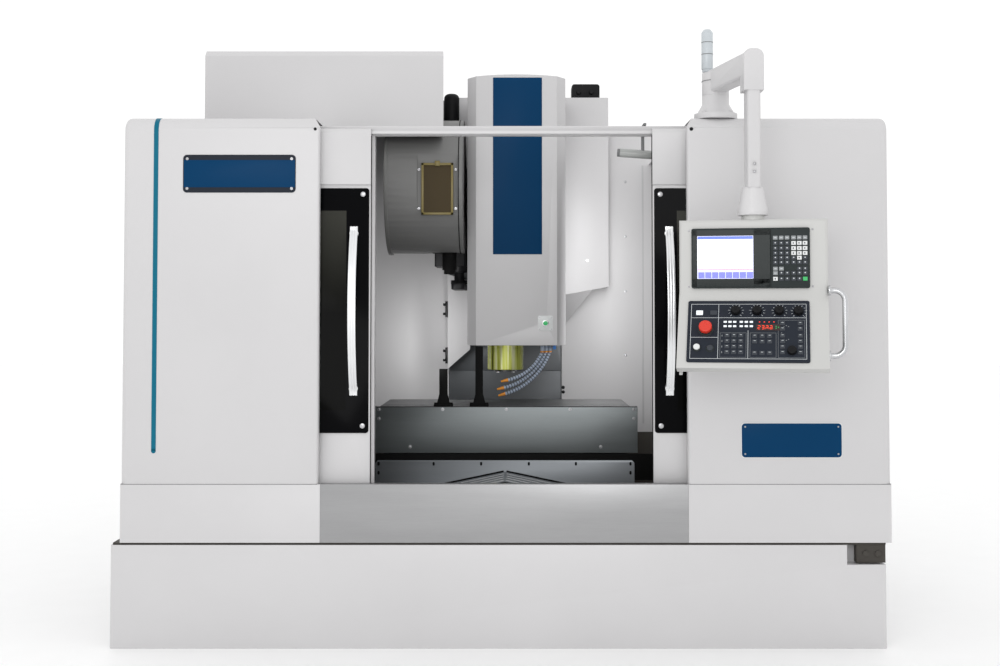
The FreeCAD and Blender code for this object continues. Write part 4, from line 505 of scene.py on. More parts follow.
class Shape:
    """A bmesh that simple solids are added to, and that ends as one piece of the machine."""

    def __init__(self) -> None:
        """Starts empty."""
        self.mesh = bmesh.new()

    def _finish_part(self, verts: Iterable[bmesh.types.BMVert], bevel: float, segments: int,
                     turn: Matrix) -> None:
        """Bevels the hard edges of the newest part and sets it in its place."""
        verts = list(verts)
        if bevel:
            edges = {edge for vert in verts for edge in vert.link_edges}
            sharp = [edge for edge in edges if edge.calc_face_angle(0.0) > SHARP_ABOVE]
            made = bmesh.ops.bevel(self.mesh, geom=sharp, offset=bevel, affect="EDGES", segments=segments,
                                   profile=0.5, material=-1)
            verts = list({vert for vert in verts if vert.is_valid} | set(made["verts"]))
        bmesh.ops.transform(self.mesh, matrix=turn, verts=verts)

    def box(self, low: Point, high: Point, bevel: float = 0.0, segments: int = 2,
            turn: Matrix = Matrix.Identity(4)) -> "Shape":
        """Adds a box between two corners.

        Args:
            low: Its lowest corner.
            high: Its highest corner.
            bevel: The width of its rounded edges.
            segments: Faces across each rounded edge.
            turn: A transform applied last.

        Returns:
            This shape.
        """
        low, high = Vector(low), Vector(high)
        spot = Matrix.Translation((low + high) / 2) @ Matrix.Diagonal((*(high - low), 1.0))
        verts = bmesh.ops.create_cube(self.mesh, size=1.0, matrix=spot)["verts"]
        self._finish_part(verts, bevel, segments, turn)
        return self

    def round(self, base: Point, way: Way, radius: float, height: float, top: float | None = None,
              sides: int = 28, bevel: float = 0.0, turn: Matrix = Matrix.Identity(4),
              twist: float = 0.0) -> "Shape":
        """Adds a cylinder or a cone that stands on a base point.

        Args:
            base: The middle of its base.
            way: The direction of its axis.
            radius: Its radius at the base.
            height: Its height along the axis, negative to go the other way.
            top: Its radius at the far end, if it differs.
            sides: The faces round it.
            bevel: The width of its rounded rims.
            turn: A transform applied last.
            twist: A turn about its own axis, in degrees.

        Returns:
            This shape.
        """
        top = radius if top is None else top
        spot = Matrix.Translation(base) @ way.turn() @ Matrix.Rotation(math.radians(twist), 4, "Z")
        lift = Matrix.Translation((0, 0, height / 2))
        first, second = (radius, top) if height > 0 else (top, radius)
        verts = bmesh.ops.create_cone(self.mesh, cap_ends=True, segments=sides, radius1=first, radius2=second,
                                      depth=abs(height), matrix=spot @ lift)["verts"]
        self._finish_part(verts, bevel, 2, turn)
        return self

    def plate(self, low: Point, high: Point, way: Way, corner: float, bevel: float = 0.0005,
              turn: Matrix = Matrix.Identity(4)) -> "Shape":
        """Adds a flat plate with rounded corners.

        Args:
            low: Its lowest corner.
            high: Its highest corner.
            way: The direction of its thickness.
            corner: The radius of its corners.
            bevel: The width of its rounded rims.
            turn: A transform applied last.

        Returns:
            This shape.
        """
        low, high = Vector(low), Vector(high)
        spot = Matrix.Translation((low + high) / 2) @ Matrix.Diagonal((*(high - low), 1.0))
        verts = bmesh.ops.create_cube(self.mesh, size=1.0, matrix=spot)["verts"]
        others = [other for other in range(3) if other != way.value]
        edges = {edge for vert in verts for edge in vert.link_edges}
        uprights = [edge for edge in edges
                    if all(abs(edge.verts[0].co[axis] - edge.verts[1].co[axis]) < 1e-6 for axis in others)]
        made = bmesh.ops.bevel(self.mesh, geom=uprights, offset=corner, affect="EDGES", segments=5,
                               profile=0.5, material=-1)
        verts = {vert for vert in verts if vert.is_valid} | set(made["verts"])
        self._finish_part(verts, bevel, 2, turn)
        return self

    def screw(self, place: Point, way: Way = Way.Y, radius: float = 0.006, height: float = 0.003,
              outward: float = -1.0, turn: Matrix = Matrix.Identity(4)) -> "Shape":
        """Adds a button-head screw on its washer.

        Args:
            place: The middle of its seat on the surface.
            way: The direction of its axis.
            radius: The radius of its head.
            height: How far the head stands out.
            outward: 1 or -1, the side of the surface that it stands on.
            turn: A transform applied last.

        Returns:
            This shape.
        """
        self.round(place, way, radius * 1.3, outward * height * 0.3, sides=20, turn=turn)
        return self.round(place, way, radius, outward * height, radius * 0.7, 20, radius * 0.12, turn)

    def piece(self, name: str, material: bpy.types.Material, body: str, slot: str) -> None:
        """Ends the shape as one object of the machine.

        Args:
            name: The piece's name.
            material: Its finish.
            body: The CAD body that it rides on.
            slot: The record's material slot that it belongs to; not used.
        """
        for face in self.mesh.faces:
            face.smooth = True
        for edge in self.mesh.edges:
            edge.smooth = edge.calc_face_angle(0.0) < SMOOTH_BELOW
        data = bpy.data.meshes.new(name)
        self.mesh.to_mesh(data)
        self.mesh.free()
        data.materials.append(material)
        made = bpy.data.objects.new(name, data)
        bpy.context.scene.collection.objects.link(made)
        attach(made, body)
        LOG.info("piece %s on %s, %d faces", name, body, len(data.polygons))


# ---------------------------------------------------------------- finishes of the built pieces
@dataclass
class Dressing:
    """Gives each CAD node its finish, and its hard edges a small round."""

    edge: float = 0.0012
    finishes: dict[str, str] = field(default_factory=lambda: {
        "bed_casting": "casting_paint", "column_casting": "casting_paint", "levelling_feet": "casting_paint",
        "coolant_tank": "enclosure_paint", "chip_pan": "pan_paint", "left_cabinet": "enclosure_paint",
        "right_cabinet": "enclosure_paint", "lower_skirts": "enclosure_paint", "front_apron": "apron_steel",
        "header_beam": "enclosure_paint", "rear_panels": "enclosure_paint",
        "magazine_hood": "enclosure_paint", "electrical_cabinet": "enclosure_paint",
        "cabinet_door": "enclosure_paint", "servo_motors": "black_paint", "column_covers": "enclosure_paint",
        "fixed_way_covers": "guard_steel", "magazine_housing": "magazine_paint", "atc_drive": "black_paint",
        "arm_pedestal": "enclosure_paint", "signal_tower": "tower_plastic", "left_door": "enclosure_paint",
        "right_door": "enclosure_paint", "left_window": "left_window_glass",
        "right_window": "right_window_glass", "left_handle": "drawn_aluminium",
        "right_handle": "drawn_aluminium", "saddle": "saddle_paint", "saddle_covers": "apron_grey",
        "x_servo_motor": "black_paint", "y_cover_mid": "guard_steel", "table": "table_iron",
        "table_guard": "guard_steel", "table_posts": "rubber_black", "x_ballscrew": "bright_steel",
        "y_ballscrew": "bright_steel", "z_ballscrew": "bright_steel", "head_casting": "casting_paint",
        "head_cover": "enclosure_paint", "spindle_motor": "black_paint",
        "spindle_cartridge": "cartridge_painted_reflections", "z_cover_upper": "cover_steel", "z_cover_mid": "cover_steel",
        "coolant_nozzles": "hose_core", "spindle": "bright_steel", "tool_release_button": "release_green",
        "carousel": "magazine_paint", "tool_pot": "rubber_black", "change_arm": "black_paint",
        "swing_arm": "enclosure_paint", "pendant_housing": "pendant_paint", "display_unit": "bezel_plastic",
        "operator_panel": "panel_print", "pendant_handle": "bright_steel", "estop_button": "estop_red",
        "start_button": "key_pale", "knob_1": "knob_black", "knob_2": "knob_black", "knob_3": "knob_black",
        "knob_4": "knob_black"})
    fine: tuple[str, ...] = ("tool_release_button", "start_button", "estop_button", "knob_1", "knob_2",
                             "knob_3", "knob_4", "coolant_nozzles", "display_unit", "operator_panel")

    def dress(self, node: bpy.types.Object, name: str, finishes: Finishes) -> None:
        """Finishes one CAD node.

        Args:
            node: The node's object.
            name: The node's name.
            finishes: The machine's finishes.
        """
        material = finishes[self.finishes[name]]
        if not node.material_slots:
            node.data.materials.append(material)
        for slot in node.material_slots:
            slot.material = material
        for face in node.data.polygons:
            face.use_smooth = True
        weld = node.modifiers.new("weld", "WELD")
        weld.merge_threshold = 0.00002
        flat = node.modifiers.new("flat", "DECIMATE")
        flat.decimate_type = "DISSOLVE"
        flat.angle_limit = math.radians(0.6)
        rounding = node.modifiers.new("edges", "BEVEL")
        rounding.width = self.edge * (0.35 if name in self.fine else 1.0)
        rounding.segments = 2
        rounding.limit_method = "ANGLE"
        rounding.angle_limit = math.radians(38)
        rounding.harden_normals = True
        rounding.use_clamp_overlap = True

    def build(self, finishes: Finishes) -> None:
        """Finishes every CAD node."""
        for name, node in frame["nodes"].items():
            self.dress(node, name, finishes)
        LOG.info("dressed %d nodes", len(frame["nodes"]))


# ---------------------------------------------------------------- trim of each sub-assembly
LOUVRE_TILT = math.radians(28)


def joint(name: str) -> dict[str, Any]:
    """The record's joint with this name."""
    return next(entry for entry in frame["joints"] if entry["name"] == name)


@dataclass
class Enclosure:
    """Stripe, blank name plates, seams and screws of the sheet enclosure."""

    stripe_x: float = -1.426
    stripe_width: float = 0.019
    stripe_low: float = 0.809
    edge_round: float = 0.060
    left_plate: Point = (-1.313, 1.880, -0.844, 2.038)
    right_plate: Point = (1.003, 0.780, 1.422, 0.926)
    rivet_inset: float = 0.017
    seam_width: float = 0.0024
    panel_depths: tuple[float, ...] = (0.58, 1.16)
    side_screws: tuple[float, ...] = (0.09, 0.49, 0.67, 1.07, 1.25, 1.66)
    side_screw_heights: tuple[float, ...] = (0.74, 1.40)
    skirt_screws: tuple[float, ...] = (0.10, 0.60, 1.10, 1.60)
    skirt_screw_height: float = 0.49
    top_inset: float = 0.12
    corner_inset: float = 0.019
    corner_drop: float = 0.052
    hood_screws: tuple[float, ...] = (0.10, 0.55, 1.00)
    hood_screw_rise: float = 0.035
    louvre_rows: int = 7
    louvre_low: float = 0.90
    louvre_pitch: float = 0.028
    louvre_depths: tuple[float, float] = (1.28, 1.62)

    def stripe(self, finishes: Finishes) -> None:
        """The coloured strip up the left cabinet's front and over its rounded top edge."""
        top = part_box("left_cabinet")[1].z
        half, proud = self.stripe_width / 2, 0.0012
        shape = Shape()
        shape.round(at(self.stripe_x, 0.001, self.stripe_low), Way.Y, half, -0.001 - proud)
        shape.box(at(self.stripe_x - half, -proud, self.stripe_low),
                  at(self.stripe_x + half, 0.001, top - self.edge_round))
        band = bmesh.ops.create_grid(shape.mesh, x_segments=1, y_segments=1, size=0.5)["verts"]
        spot = Matrix.Translation(at(self.stripe_x, 0, top - self.edge_round)) @ Matrix.Diagonal(
            (self.stripe_width, 0.001 + proud, 1, 1))
        bmesh.ops.transform(shape.mesh, matrix=spot, verts=band)
        faces = list({face for vert in band for face in vert.link_faces})
        bmesh.ops.translate(shape.mesh, verts=band, vec=(0, 0.0005 - proud / 2, 0))
        hub = at(self.stripe_x, self.edge_round, top - self.edge_round)
        bmesh.ops.spin(shape.mesh, geom=faces, cent=hub, axis=(1, 0, 0), angle=-math.pi / 2, steps=16)
        bmesh.ops.recalc_face_normals(shape.mesh, faces=shape.mesh.faces)
        shape.piece("accent_stripe", finishes["stripe_paint"], "machine", "enclosure_white")

    def plate(self, side: str, box: Point, finishes: Finishes) -> None:
        """One blank name plate: a dark back plate, its blue face and four rivets.

        Args:
            side: Which cabinet it is on.
            box: Its low X and Z, then its high X and Z.
            finishes: The machine's finishes.
        """
        low_x, low_z, high_x, high_z = box
        band = 0.022 if side == "left" else 0.003
        rim = "panel_print" if side == "left" else "key_pale"
        Shape().plate(at(low_x, -0.002, low_z), at(high_x, 0.0005, high_z), Way.Y, 0.016).piece(
            f"{side}_plate_back", finishes[rim], "machine", "enclosure_white")
        Shape().plate(at(low_x + 0.003, -0.003, low_z + band), at(high_x - 0.003, -0.0015, high_z - band),
                      Way.Y, 0.002 if side == "left" else 0.014).piece(
            f"{side}_plate_face", finishes["plate_blue"], "machine", "enclosure_white")
        rivets = Shape()
        inset = self.rivet_inset
        for x in (low_x + inset, high_x - inset):
            for z in (low_z + inset, high_z - inset):
                rivets.screw(at(x, -0.002, z), radius=0.0045)
        rivets.piece(f"{side}_plate_rivets", finishes["screw_steel"], "machine", "bright_steel")

    def seams(self, finishes: Finishes) -> None:
        """Dark joints between the cabinets and the skirts, and between the side panels."""
        shape = Shape()
        low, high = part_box("lower_skirts")
        sill, half, proud = high.z, self.seam_width / 2, 0.0006
        for node, side in (("left_cabinet", low.x), ("right_cabinet", high.x)):
            cabinet_low, cabinet_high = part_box(node)
            shape.box((cabinet_low.x + 0.003, low.y - proud, sill - half),
                      (cabinet_high.x - 0.003, low.y + 0.001, sill + half))
            shape.box((side - proud, low.y + 0.003, sill - half),
                      (side + proud, cabinet_high.y - 0.003, sill + half))
            for depth in self.panel_depths:
                shape.box((side - proud, low.y + depth, sill + 0.004),
                          (side + proud, low.y + depth + 0.0022, cabinet_high.z - self.edge_round))
        shape.piece("panel_seams", finishes["seam_grey"], "machine", "enclosure_white")

    def screws(self, finishes: Finishes) -> None:
        """Screws of the side panels, of the cabinets' inner corners and of the magazine hood."""
        shape = Shape()
        low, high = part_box("lower_skirts")
        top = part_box("left_cabinet")[1].z
        for side, outward in ((low.x, -1.0), (high.x, 1.0)):
            for depth in self.side_screws:
                for z in (*self.side_screw_heights, top - self.top_inset):
                    shape.screw((side, FRONT + depth, z), Way.X, 0.007, 0.004, outward)
            for depth in self.skirt_screws:
                shape.screw((side, FRONT + depth, self.skirt_screw_height), Way.X, 0.007, 0.004, outward)
        hood_low, hood_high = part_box("magazine_hood")
        hood_z = hood_low.z + self.hood_screw_rise
        for x in (hood_low.x + 0.05, (hood_low.x + hood_high.x) / 2, hood_high.x - 0.05):
            shape.screw((x, hood_low.y, hood_z))
        for depth in self.hood_screws:
            shape.screw((hood_low.x, hood_low.y + depth, hood_z), Way.X)
        shape.piece("enclosure_screws", finishes["screw_steel"], "machine", "bright_steel")
        dark = Shape()
        dark.screw(at(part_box("right_cabinet")[0].x + self.corner_inset, 0, top - self.corner_drop))
        dark.screw(at(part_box("left_cabinet")[1].x - self.corner_inset, 0, top - self.corner_drop),
                   radius=0.005)
        dark.piece("corner_screws", finishes["knob_black"], "machine", "motor_black")

    def vents(self, finishes: Finishes) -> None:
        """Louvres low on the cabinets' sides."""
        shape = Shape()
        low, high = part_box("lower_skirts")
        near, far = self.louvre_depths
        for side, outward in ((low.x, -1), (high.x, 1)):
            for row in range(self.louvre_rows):
                z = self.louvre_low + row * self.louvre_pitch
                turn = Matrix.Translation((side, 0, z)) @ Matrix.Rotation(outward * LOUVRE_TILT, 4, "Y")
                shape.box((-0.002, FRONT + near, -0.009), (0.002, FRONT + far, 0.009), 0.0008, 2, turn)
        shape.piece("side_louvres", finishes["enclosure_paint"], "machine", "enclosure_white")

    def build(self, finishes: Finishes) -> None:
        """Makes every piece of the enclosure's trim."""
        self.stripe(finishes)
        self.plate("left", self.left_plate, finishes)
        self.plate("right", self.right_plate, finishes)
        self.seams(finishes)
        self.screws(finishes)
        self.vents(finishes)


@dataclass
class SlidingDoor:
    """Studs, edge seal and handle fixings of one sliding door."""

    side: str
    inward: float
    stud_inset: float = 0.031
    stud_heights: tuple[float, float] = (0.908, 1.878)
    stud_radius: float = 0.011

    def build(self, finishes: Finishes) -> None:
        """Makes the door's small pieces.

        Args:
            finishes: The machine's finishes.
        """
        body = f"{self.side}_door"
        low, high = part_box(body)
        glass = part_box(f"{self.side}_window")[0]
        handle_low, handle_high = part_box(f"{self.side}_handle")
        free = high.x if self.inward < 0 else low.x
        far = low.x if self.inward < 0 else high.x
        studs = Shape()
        for z in self.stud_heights:
            for x in (free + self.inward * self.stud_inset, far - self.inward * self.stud_inset):
                studs.round((x, glass.y + 0.001, z), Way.Y, self.stud_radius, -0.007, bevel=0.002)
        studs.piece(f"{body}_studs", finishes["screw_steel"], body, "bright_steel")
        seal = Shape()
        x_low, x_high = sorted((free, free - self.inward * 0.0012))
        seal.box((x_low, low.y + 0.006, low.z + 0.02), (x_high, low.y + 0.030, high.z - 0.03), 0.0004)
        seal.piece(f"{body}_seal", finishes["rubber_black"], body, "knob_black")
        feet = Shape()
        middle = (handle_low.x + handle_high.x) / 2
        for z in (handle_low.z + 0.030, handle_high.z - 0.030):
            feet.round((middle, glass.y + 0.0005, z), Way.Y, 0.019, -0.006, bevel=0.0015)
        feet.piece(f"{body}_handle_feet", finishes["drawn_aluminium"], body, "handle_aluminium")
        rollers = Shape()
        for x in (low.x + 0.09, high.x - 0.09):
            rollers.round((x, low.y + 0.024, low.z + 0.003), Way.Y, 0.014, 0.010, bevel=0.001)
        rollers.piece(f"{body}_rollers", finishes["bright_steel"], body, "bright_steel")


@dataclass
class Chamber:
    """Fittings on the chamber's rear walls, the guard panel and the work light."""

    fold_shade_x: float = 0.770
    bolt_x: float = 0.680
    bolt_heights: tuple[float, ...] = (1.15, 1.50, 1.80, 2.10)
    lamp_ends: tuple[float, float] = (0.525, 0.672)
    lamp_depth: float = 0.250
    lamp_height: float = 2.072
    lamp_radius: float = 0.019
    lamp_tilt: float = math.radians(4)
    hinge_heights: tuple[float, float] = (1.111, 1.358)
    hinge_height: float = 0.086
    box_sides: tuple[float, float] = (0.383, 0.534)
    box_depths: tuple[float, float] = (0.110, 0.004)
    box_height: float = 0.082
    gland_places: tuple[float, float] = (0.42, 0.49)
    flank_bolt: tuple[float, float] = (0.462, 1.662)
    side_bolts: tuple[float, float] = (-1.1, 1.2)
    side_seams: tuple[float, float] = (-1.14, 1.24)
    latch_x: float = 0.332
    latch_heights: tuple[float, float] = (0.960, 0.984)

    def walls(self, finishes: Finishes) -> None:
        """Bolts and seams of the rear panels, and a grey strip of painted shade for the side face of a fold
        in the rear wall.
        """
        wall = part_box("rear_panels")[0].y
        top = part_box("rear_panels")[1].z
        bolts = Shape()
        for x in (self.bolt_x, *self.side_bolts):
            for z in self.bolt_heights:
                bolts.screw((x, wall, z), Way.Y, 0.0065, 0.004)
        x, z = self.flank_bolt
        bolts.screw((x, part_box("column_covers")[0].y, z), radius=0.005)
        bolts.piece("wall_bolts", finishes["screw_steel"], "machine", "bright_steel")
        seam = Shape()
        for x in self.side_seams:
            seam.box((x, wall - 0.0006, 0.74), (x + 0.002, wall + 0.0005, 2.16))
        # Painted shade: this wider grey strip stands in for the shaded side face of a fold in the rear wall.
        seam.box((self.fold_shade_x, wall - 0.0008, 0.78), (self.fold_shade_x + 0.010, wall + 0.0005, top - 0.19), 0.0003)
        seam.piece("wall_seams_and_fold_shade", finishes["fold_grey"], "machine", "enclosure_white")

    def hinges(self, finishes: Finishes) -> None:
        """Black hinges on the guard panel's left edge, and the two latch knobs at its lower right."""
        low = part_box("column_covers")[0]
        shape = Shape()
        for z in self.hinge_heights:
            shape.box((low.x - 0.012, low.y - 0.010, z),
                      (low.x + 0.001, low.y + 0.006, z + self.hinge_height), 0.002)
            for lift in (0.018, self.hinge_height - 0.018):
                shape.round((low.x - 0.024, low.y - 0.004, z + lift), Way.X, 0.007, 0.014, bevel=0.002)
        for z in self.latch_heights:
            shape.round((self.latch_x, low.y + 0.001, z), Way.Y, 0.009, -0.016, bevel=0.003)
        shape.piece("guard_hinges", finishes["knob_black"], "machine", "motor_black")

    def lamp(self, finishes: Finishes) -> None:
        """The work light's tube with its end caps and bracket under the header."""
        left, right = self.lamp_ends
        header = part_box("header_beam")[1].z
        middle = at((left + right) / 2, self.lamp_depth, self.lamp_height)
        tilt = Matrix.Translation(middle) @ Matrix.Rotation(self.lamp_tilt, 4, "Y")
        half = (right - left) / 2
        Shape().round((-half, 0, 0), Way.X, self.lamp_radius, 2 * half, bevel=0.002, turn=tilt).piece(
            "work_light_tube", finishes["lamp_tube"], "machine", "tower_clear")
        caps = Shape()
        caps.round((half, 0, 0), Way.X, self.lamp_radius + 0.003, 0.016, bevel=0.002, turn=tilt)
        caps.round((-half, 0, 0), Way.X, self.lamp_radius - 0.001, -0.010, bevel=0.002, turn=tilt)
        caps.box(at(right - 0.052, self.lamp_depth - 0.012, self.lamp_height + 0.012),
                 at(right - 0.040, self.lamp_depth + 0.012, header - 0.006), 0.0015)
        caps.box(at(right - 0.052, 0.148, header - 0.012),
                 at(right - 0.040, self.lamp_depth + 0.012, header - 0.002), 0.0015)
        caps.piece("work_light_bracket", finishes["seam_grey"], "machine", "enclosure_white")

    def junction_box(self, finishes: Finishes) -> None:
        """Black cable box on the right flank cover's top, with its two glands."""
        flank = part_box("column_covers")[1]
        shape = Shape()
        front, back = (flank.y - depth for depth in self.box_depths)
        left, right = self.box_sides
        shape.plate((left, front, flank.z - 0.002), (right, back, flank.z + self.box_height), Way.Y, 0.014,
                    0.002)
        for x in self.gland_places:
            shape.round((x, front, flank.z + 0.036), Way.Y, 0.013, -0.022, 0.010, bevel=0.0015)
        shape.piece("cable_box", finishes["black_paint"], "machine", "motor_black")

    def build(self, finishes: Finishes) -> None:
        """Makes every fitting in the chamber."""
        self.walls(finishes)
        self.hinges(finishes)
        self.lamp(finishes)
        self.junction_box(finishes)


@dataclass
class Head:
    """Plate, button plate, gland and coolant hose beads of the spindle head."""

    plate_sides: tuple[float, float] = (-0.034, 0.202)
    plate_low: float = 1.662
    plate_gap: float = 0.016
    button_plate: float = 0.036
    hose_tops: tuple[float, ...] = (0.205, 0.223, 0.241)
    hose_tips: tuple[Point, ...] = ((0.044, 1.058), (0.024, 1.020), (0.030, 0.990))
    hose_row: float = 0.020
    hose_front: float = -0.172
    hose_low: float = 1.192
    sagitta: float = 0.12
    bead: tuple[float, float, float] = (0.0076, 0.0098, 0.0095)
    bead_pitch: float = 0.0135
    tip: tuple[float, float, float] = (0.0090, 0.036, 0.0046)
    tip_seat: float = 0.004
    collar: tuple[float, float] = (0.0108, 0.026)
    band: tuple[float, float] = (0.0104, 0.007)
    plug_low: tuple[float, float, float] = (0.014, -0.012, 0.012)
    plug_high: tuple[float, float, float] = (0.030, 0.030, 0.034)

    def plates(self, finishes: Finishes) -> None:
        """The long blue plate and the small plate round the release button."""
        low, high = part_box("head_cover")
        front = low.y
        Shape().plate((self.plate_sides[0], front - 0.002, self.plate_low),
                      (self.plate_sides[1], front + 0.0005, high.z - self.plate_gap), Way.Y, 0.003).piece(
            "head_plate", finishes["plate_blue"], "head", "enclosure_white")
        button_low, button_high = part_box("tool_release_button")
        middle = (button_low + button_high) / 2
        half = self.button_plate
        Shape().plate((middle.x - half, front - 0.0015, middle.z - half),
                      (middle.x + half, front + 0.0005, middle.z + half), Way.Y, 0.006).piece(
            "button_plate", finishes["key_pale"], "head", "enclosure_white")
        Shape().round((middle.x, front - 0.0012, middle.z), Way.Y, 0.0155, -0.003, bevel=0.0008).piece(
            "button_ring", finishes["bright_steel"], "head", "bright_steel")
        screws = Shape()
        for side in (-1, 1):
            for up in (-1, 1):
                screws.screw((middle.x + side * (half - 0.008), front - 0.0015,
                              middle.z + up * (half - 0.008)),
                             radius=0.0035, height=0.002)
        for z in (low.z + 0.05, (low.z + high.z) / 2, high.z - 0.07):
            for x, outward in ((low.x, -1.0), (high.x, 1.0)):
                screws.screw((x, front + 0.14, z), Way.X, 0.006, 0.003, outward)
        screws.piece("head_screws", finishes["screw_steel"], "head", "bright_steel")

    def gland(self, finishes: Finishes) -> None:
        """Cable gland on the cover's top."""
        low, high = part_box("head_cover")
        shape = Shape()
        shape.round((0.020, low.y + 0.20, high.z - 0.016), Way.Z, 0.034, 0.024, 0.030, 28, 0.003)
        shape.round((0.020, low.y + 0.20, high.z + 0.008), Way.Z, 0.020, 0.014, 0.016, 12, 0.002)
        shape.piece("cover_gland", finishes["rubber_black"], "head", "motor_black")

    def hoses(self, finishes: Finishes) -> None:
        """Beads of the jointed coolant hoses, their coloured collars and their orange tips."""
        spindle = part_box("spindle_cartridge")
        middle_y = (spindle[0].y + spindle[1].y) / 2
        beads, tips, collars = Shape(), Shape(), Shape()
        narrow, wide, deep = self.bead
        for index, (top_x, (tip_x, tip_z)) in enumerate(zip(self.hose_tops, self.hose_tips)):
            row = middle_y + self.hose_front + index * self.hose_row
            low, tip = Vector((top_x, row, self.hose_low)), Vector((tip_x, row - 0.008, tip_z))
            chord = tip - low
            across = Vector((-chord.z, 0, chord.x)).normalized()
            rise = chord.length * self.sagitta
            radius = (chord.length ** 2 / 4 + rise ** 2) / (2 * rise)
            hub = (low + tip) / 2 + across * (rise - radius)
            sweep = 4 * math.atan(2 * self.sagitta)
            normal = (low - hub).cross(tip - hub).normalized()
            start = normal.cross(low - hub).normalized()
            end = normal.cross(tip - hub).normalized()
            count = max(6, round(radius * sweep / self.bead_pitch))
            face_start = Matrix.Translation(low) @ start.to_track_quat("Z", "Y").to_matrix().to_4x4()
            ring = bmesh.ops.create_cone(beads.mesh, cap_ends=True, segments=18, radius1=narrow, radius2=wide,
                                         depth=deep, matrix=face_start)["verts"]
            faces = list({face for vert in ring for face in vert.link_faces})
            bmesh.ops.spin(beads.mesh, geom=faces, cent=hub, axis=normal, angle=sweep, steps=count,
                           use_duplicate=True)
            aim = end.to_track_quat("Z", "Y").to_matrix().to_4x4()
            seat = Matrix.Translation(tip + end * self.tip_seat) @ aim
            tips.round((0, 0, 0), Way.Z, *self.tip, 20, 0.0008, seat)
            tips.round((top_x, row, self.hose_low - 0.003), Way.Z, *self.band, sides=20, bevel=0.001)
            collars.round((top_x, row, self.hose_low + 0.005), Way.Z, *self.collar, sides=6, bevel=0.0008)
        beads.piece("hose_beads", finishes["nozzle_hose"], "head", "hose_grey")
        tips.piece("hose_tips", finishes["tip_orange"], "head", "hose_grey")
        mouth = Vector((self.hose_tops[-1], middle_y + self.hose_front, self.hose_low))
        Shape().box(mouth + Vector(self.plug_low), mouth + Vector(self.plug_high), 0.002).piece(
            "hose_plug", finishes["fitting_blue"], "head", "hose_grey")
        collars.piece("hose_collars", finishes["nozzle_hose"], "head", "hose_grey")

    def build(self, finishes: Finishes) -> None:
        """Makes every piece of the head's trim."""
        self.plates(finishes)
        self.gland(finishes)
        self.hoses(finishes)


@dataclass
class Magazine:
    """Window, gap and screws of the tool magazine's drum."""

    window: Point = (-0.366, 1.838, -0.217, 2.081)
    frame_width: float = 0.011
    depth: float = 0.676

    def build(self, finishes: Finishes) -> None:
        """Makes the window with its frame and latch, the dark gap round the drum and the screws."""
        low_x, low_z, high_x, high_z = self.window
        border = Shape()
        wide = self.frame_width
        for box in ((low_x, low_z, low_x + wide, high_z), (high_x - wide, low_z, high_x, high_z),
                    (low_x, low_z, high_x, low_z + wide), (low_x, high_z - wide, high_x, high_z)):
            border.box(at(box[0], self.depth - 0.009, box[1]), at(box[2], self.depth + 0.003, box[3]), 0.0012)
        border.box(at((low_x + high_x) / 2 - 0.012, self.depth - 0.013, high_z - wide - 0.004),
                   at((low_x + high_x) / 2 + 0.012, self.depth - 0.006, high_z + 0.010), 0.002)
        border.piece("magazine_window_frame", finishes["frame_amber"], "machine", "magazine_grey")
        Shape().box(at(low_x + wide * 0.5, self.depth - 0.005, low_z + wide * 0.5),
                    at(high_x - wide * 0.5, self.depth - 0.001, high_z - wide * 0.5)).piece(
            "magazine_window", finishes["magazine_glass"], "machine", "window_black")
        drum_low, drum_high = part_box("magazine_housing")
        middle = (drum_low + drum_high) / 2
        radius = (drum_high.z - drum_low.z) / 2
        bands = Shape()
        bands.round((drum_high.x - 0.020, middle.y, middle.z), Way.X, radius - 0.0065, 0.004, sides=96)
        bands.piece("magazine_gap", finishes["rubber_black"], "machine", "pot_black")
        screws = Shape()
        for step in range(9):
            angle = math.radians(200 + step * 40)
            spot = (drum_low.x, middle.y + math.cos(angle) * (radius - 0.035),
                    middle.z + math.sin(angle) * (radius - 0.035))
            screws.screw(spot, Way.X, 0.007, 0.004, -1.0)
        for x in (low_x - 0.012, high_x + 0.012):
            for z in (low_z + 0.03, high_z - 0.03):
                screws.screw(at(x, self.depth - 0.001, z), radius=0.0045)
        screws.piece("magazine_screws", finishes["screw_steel"], "machine", "bright_steel")


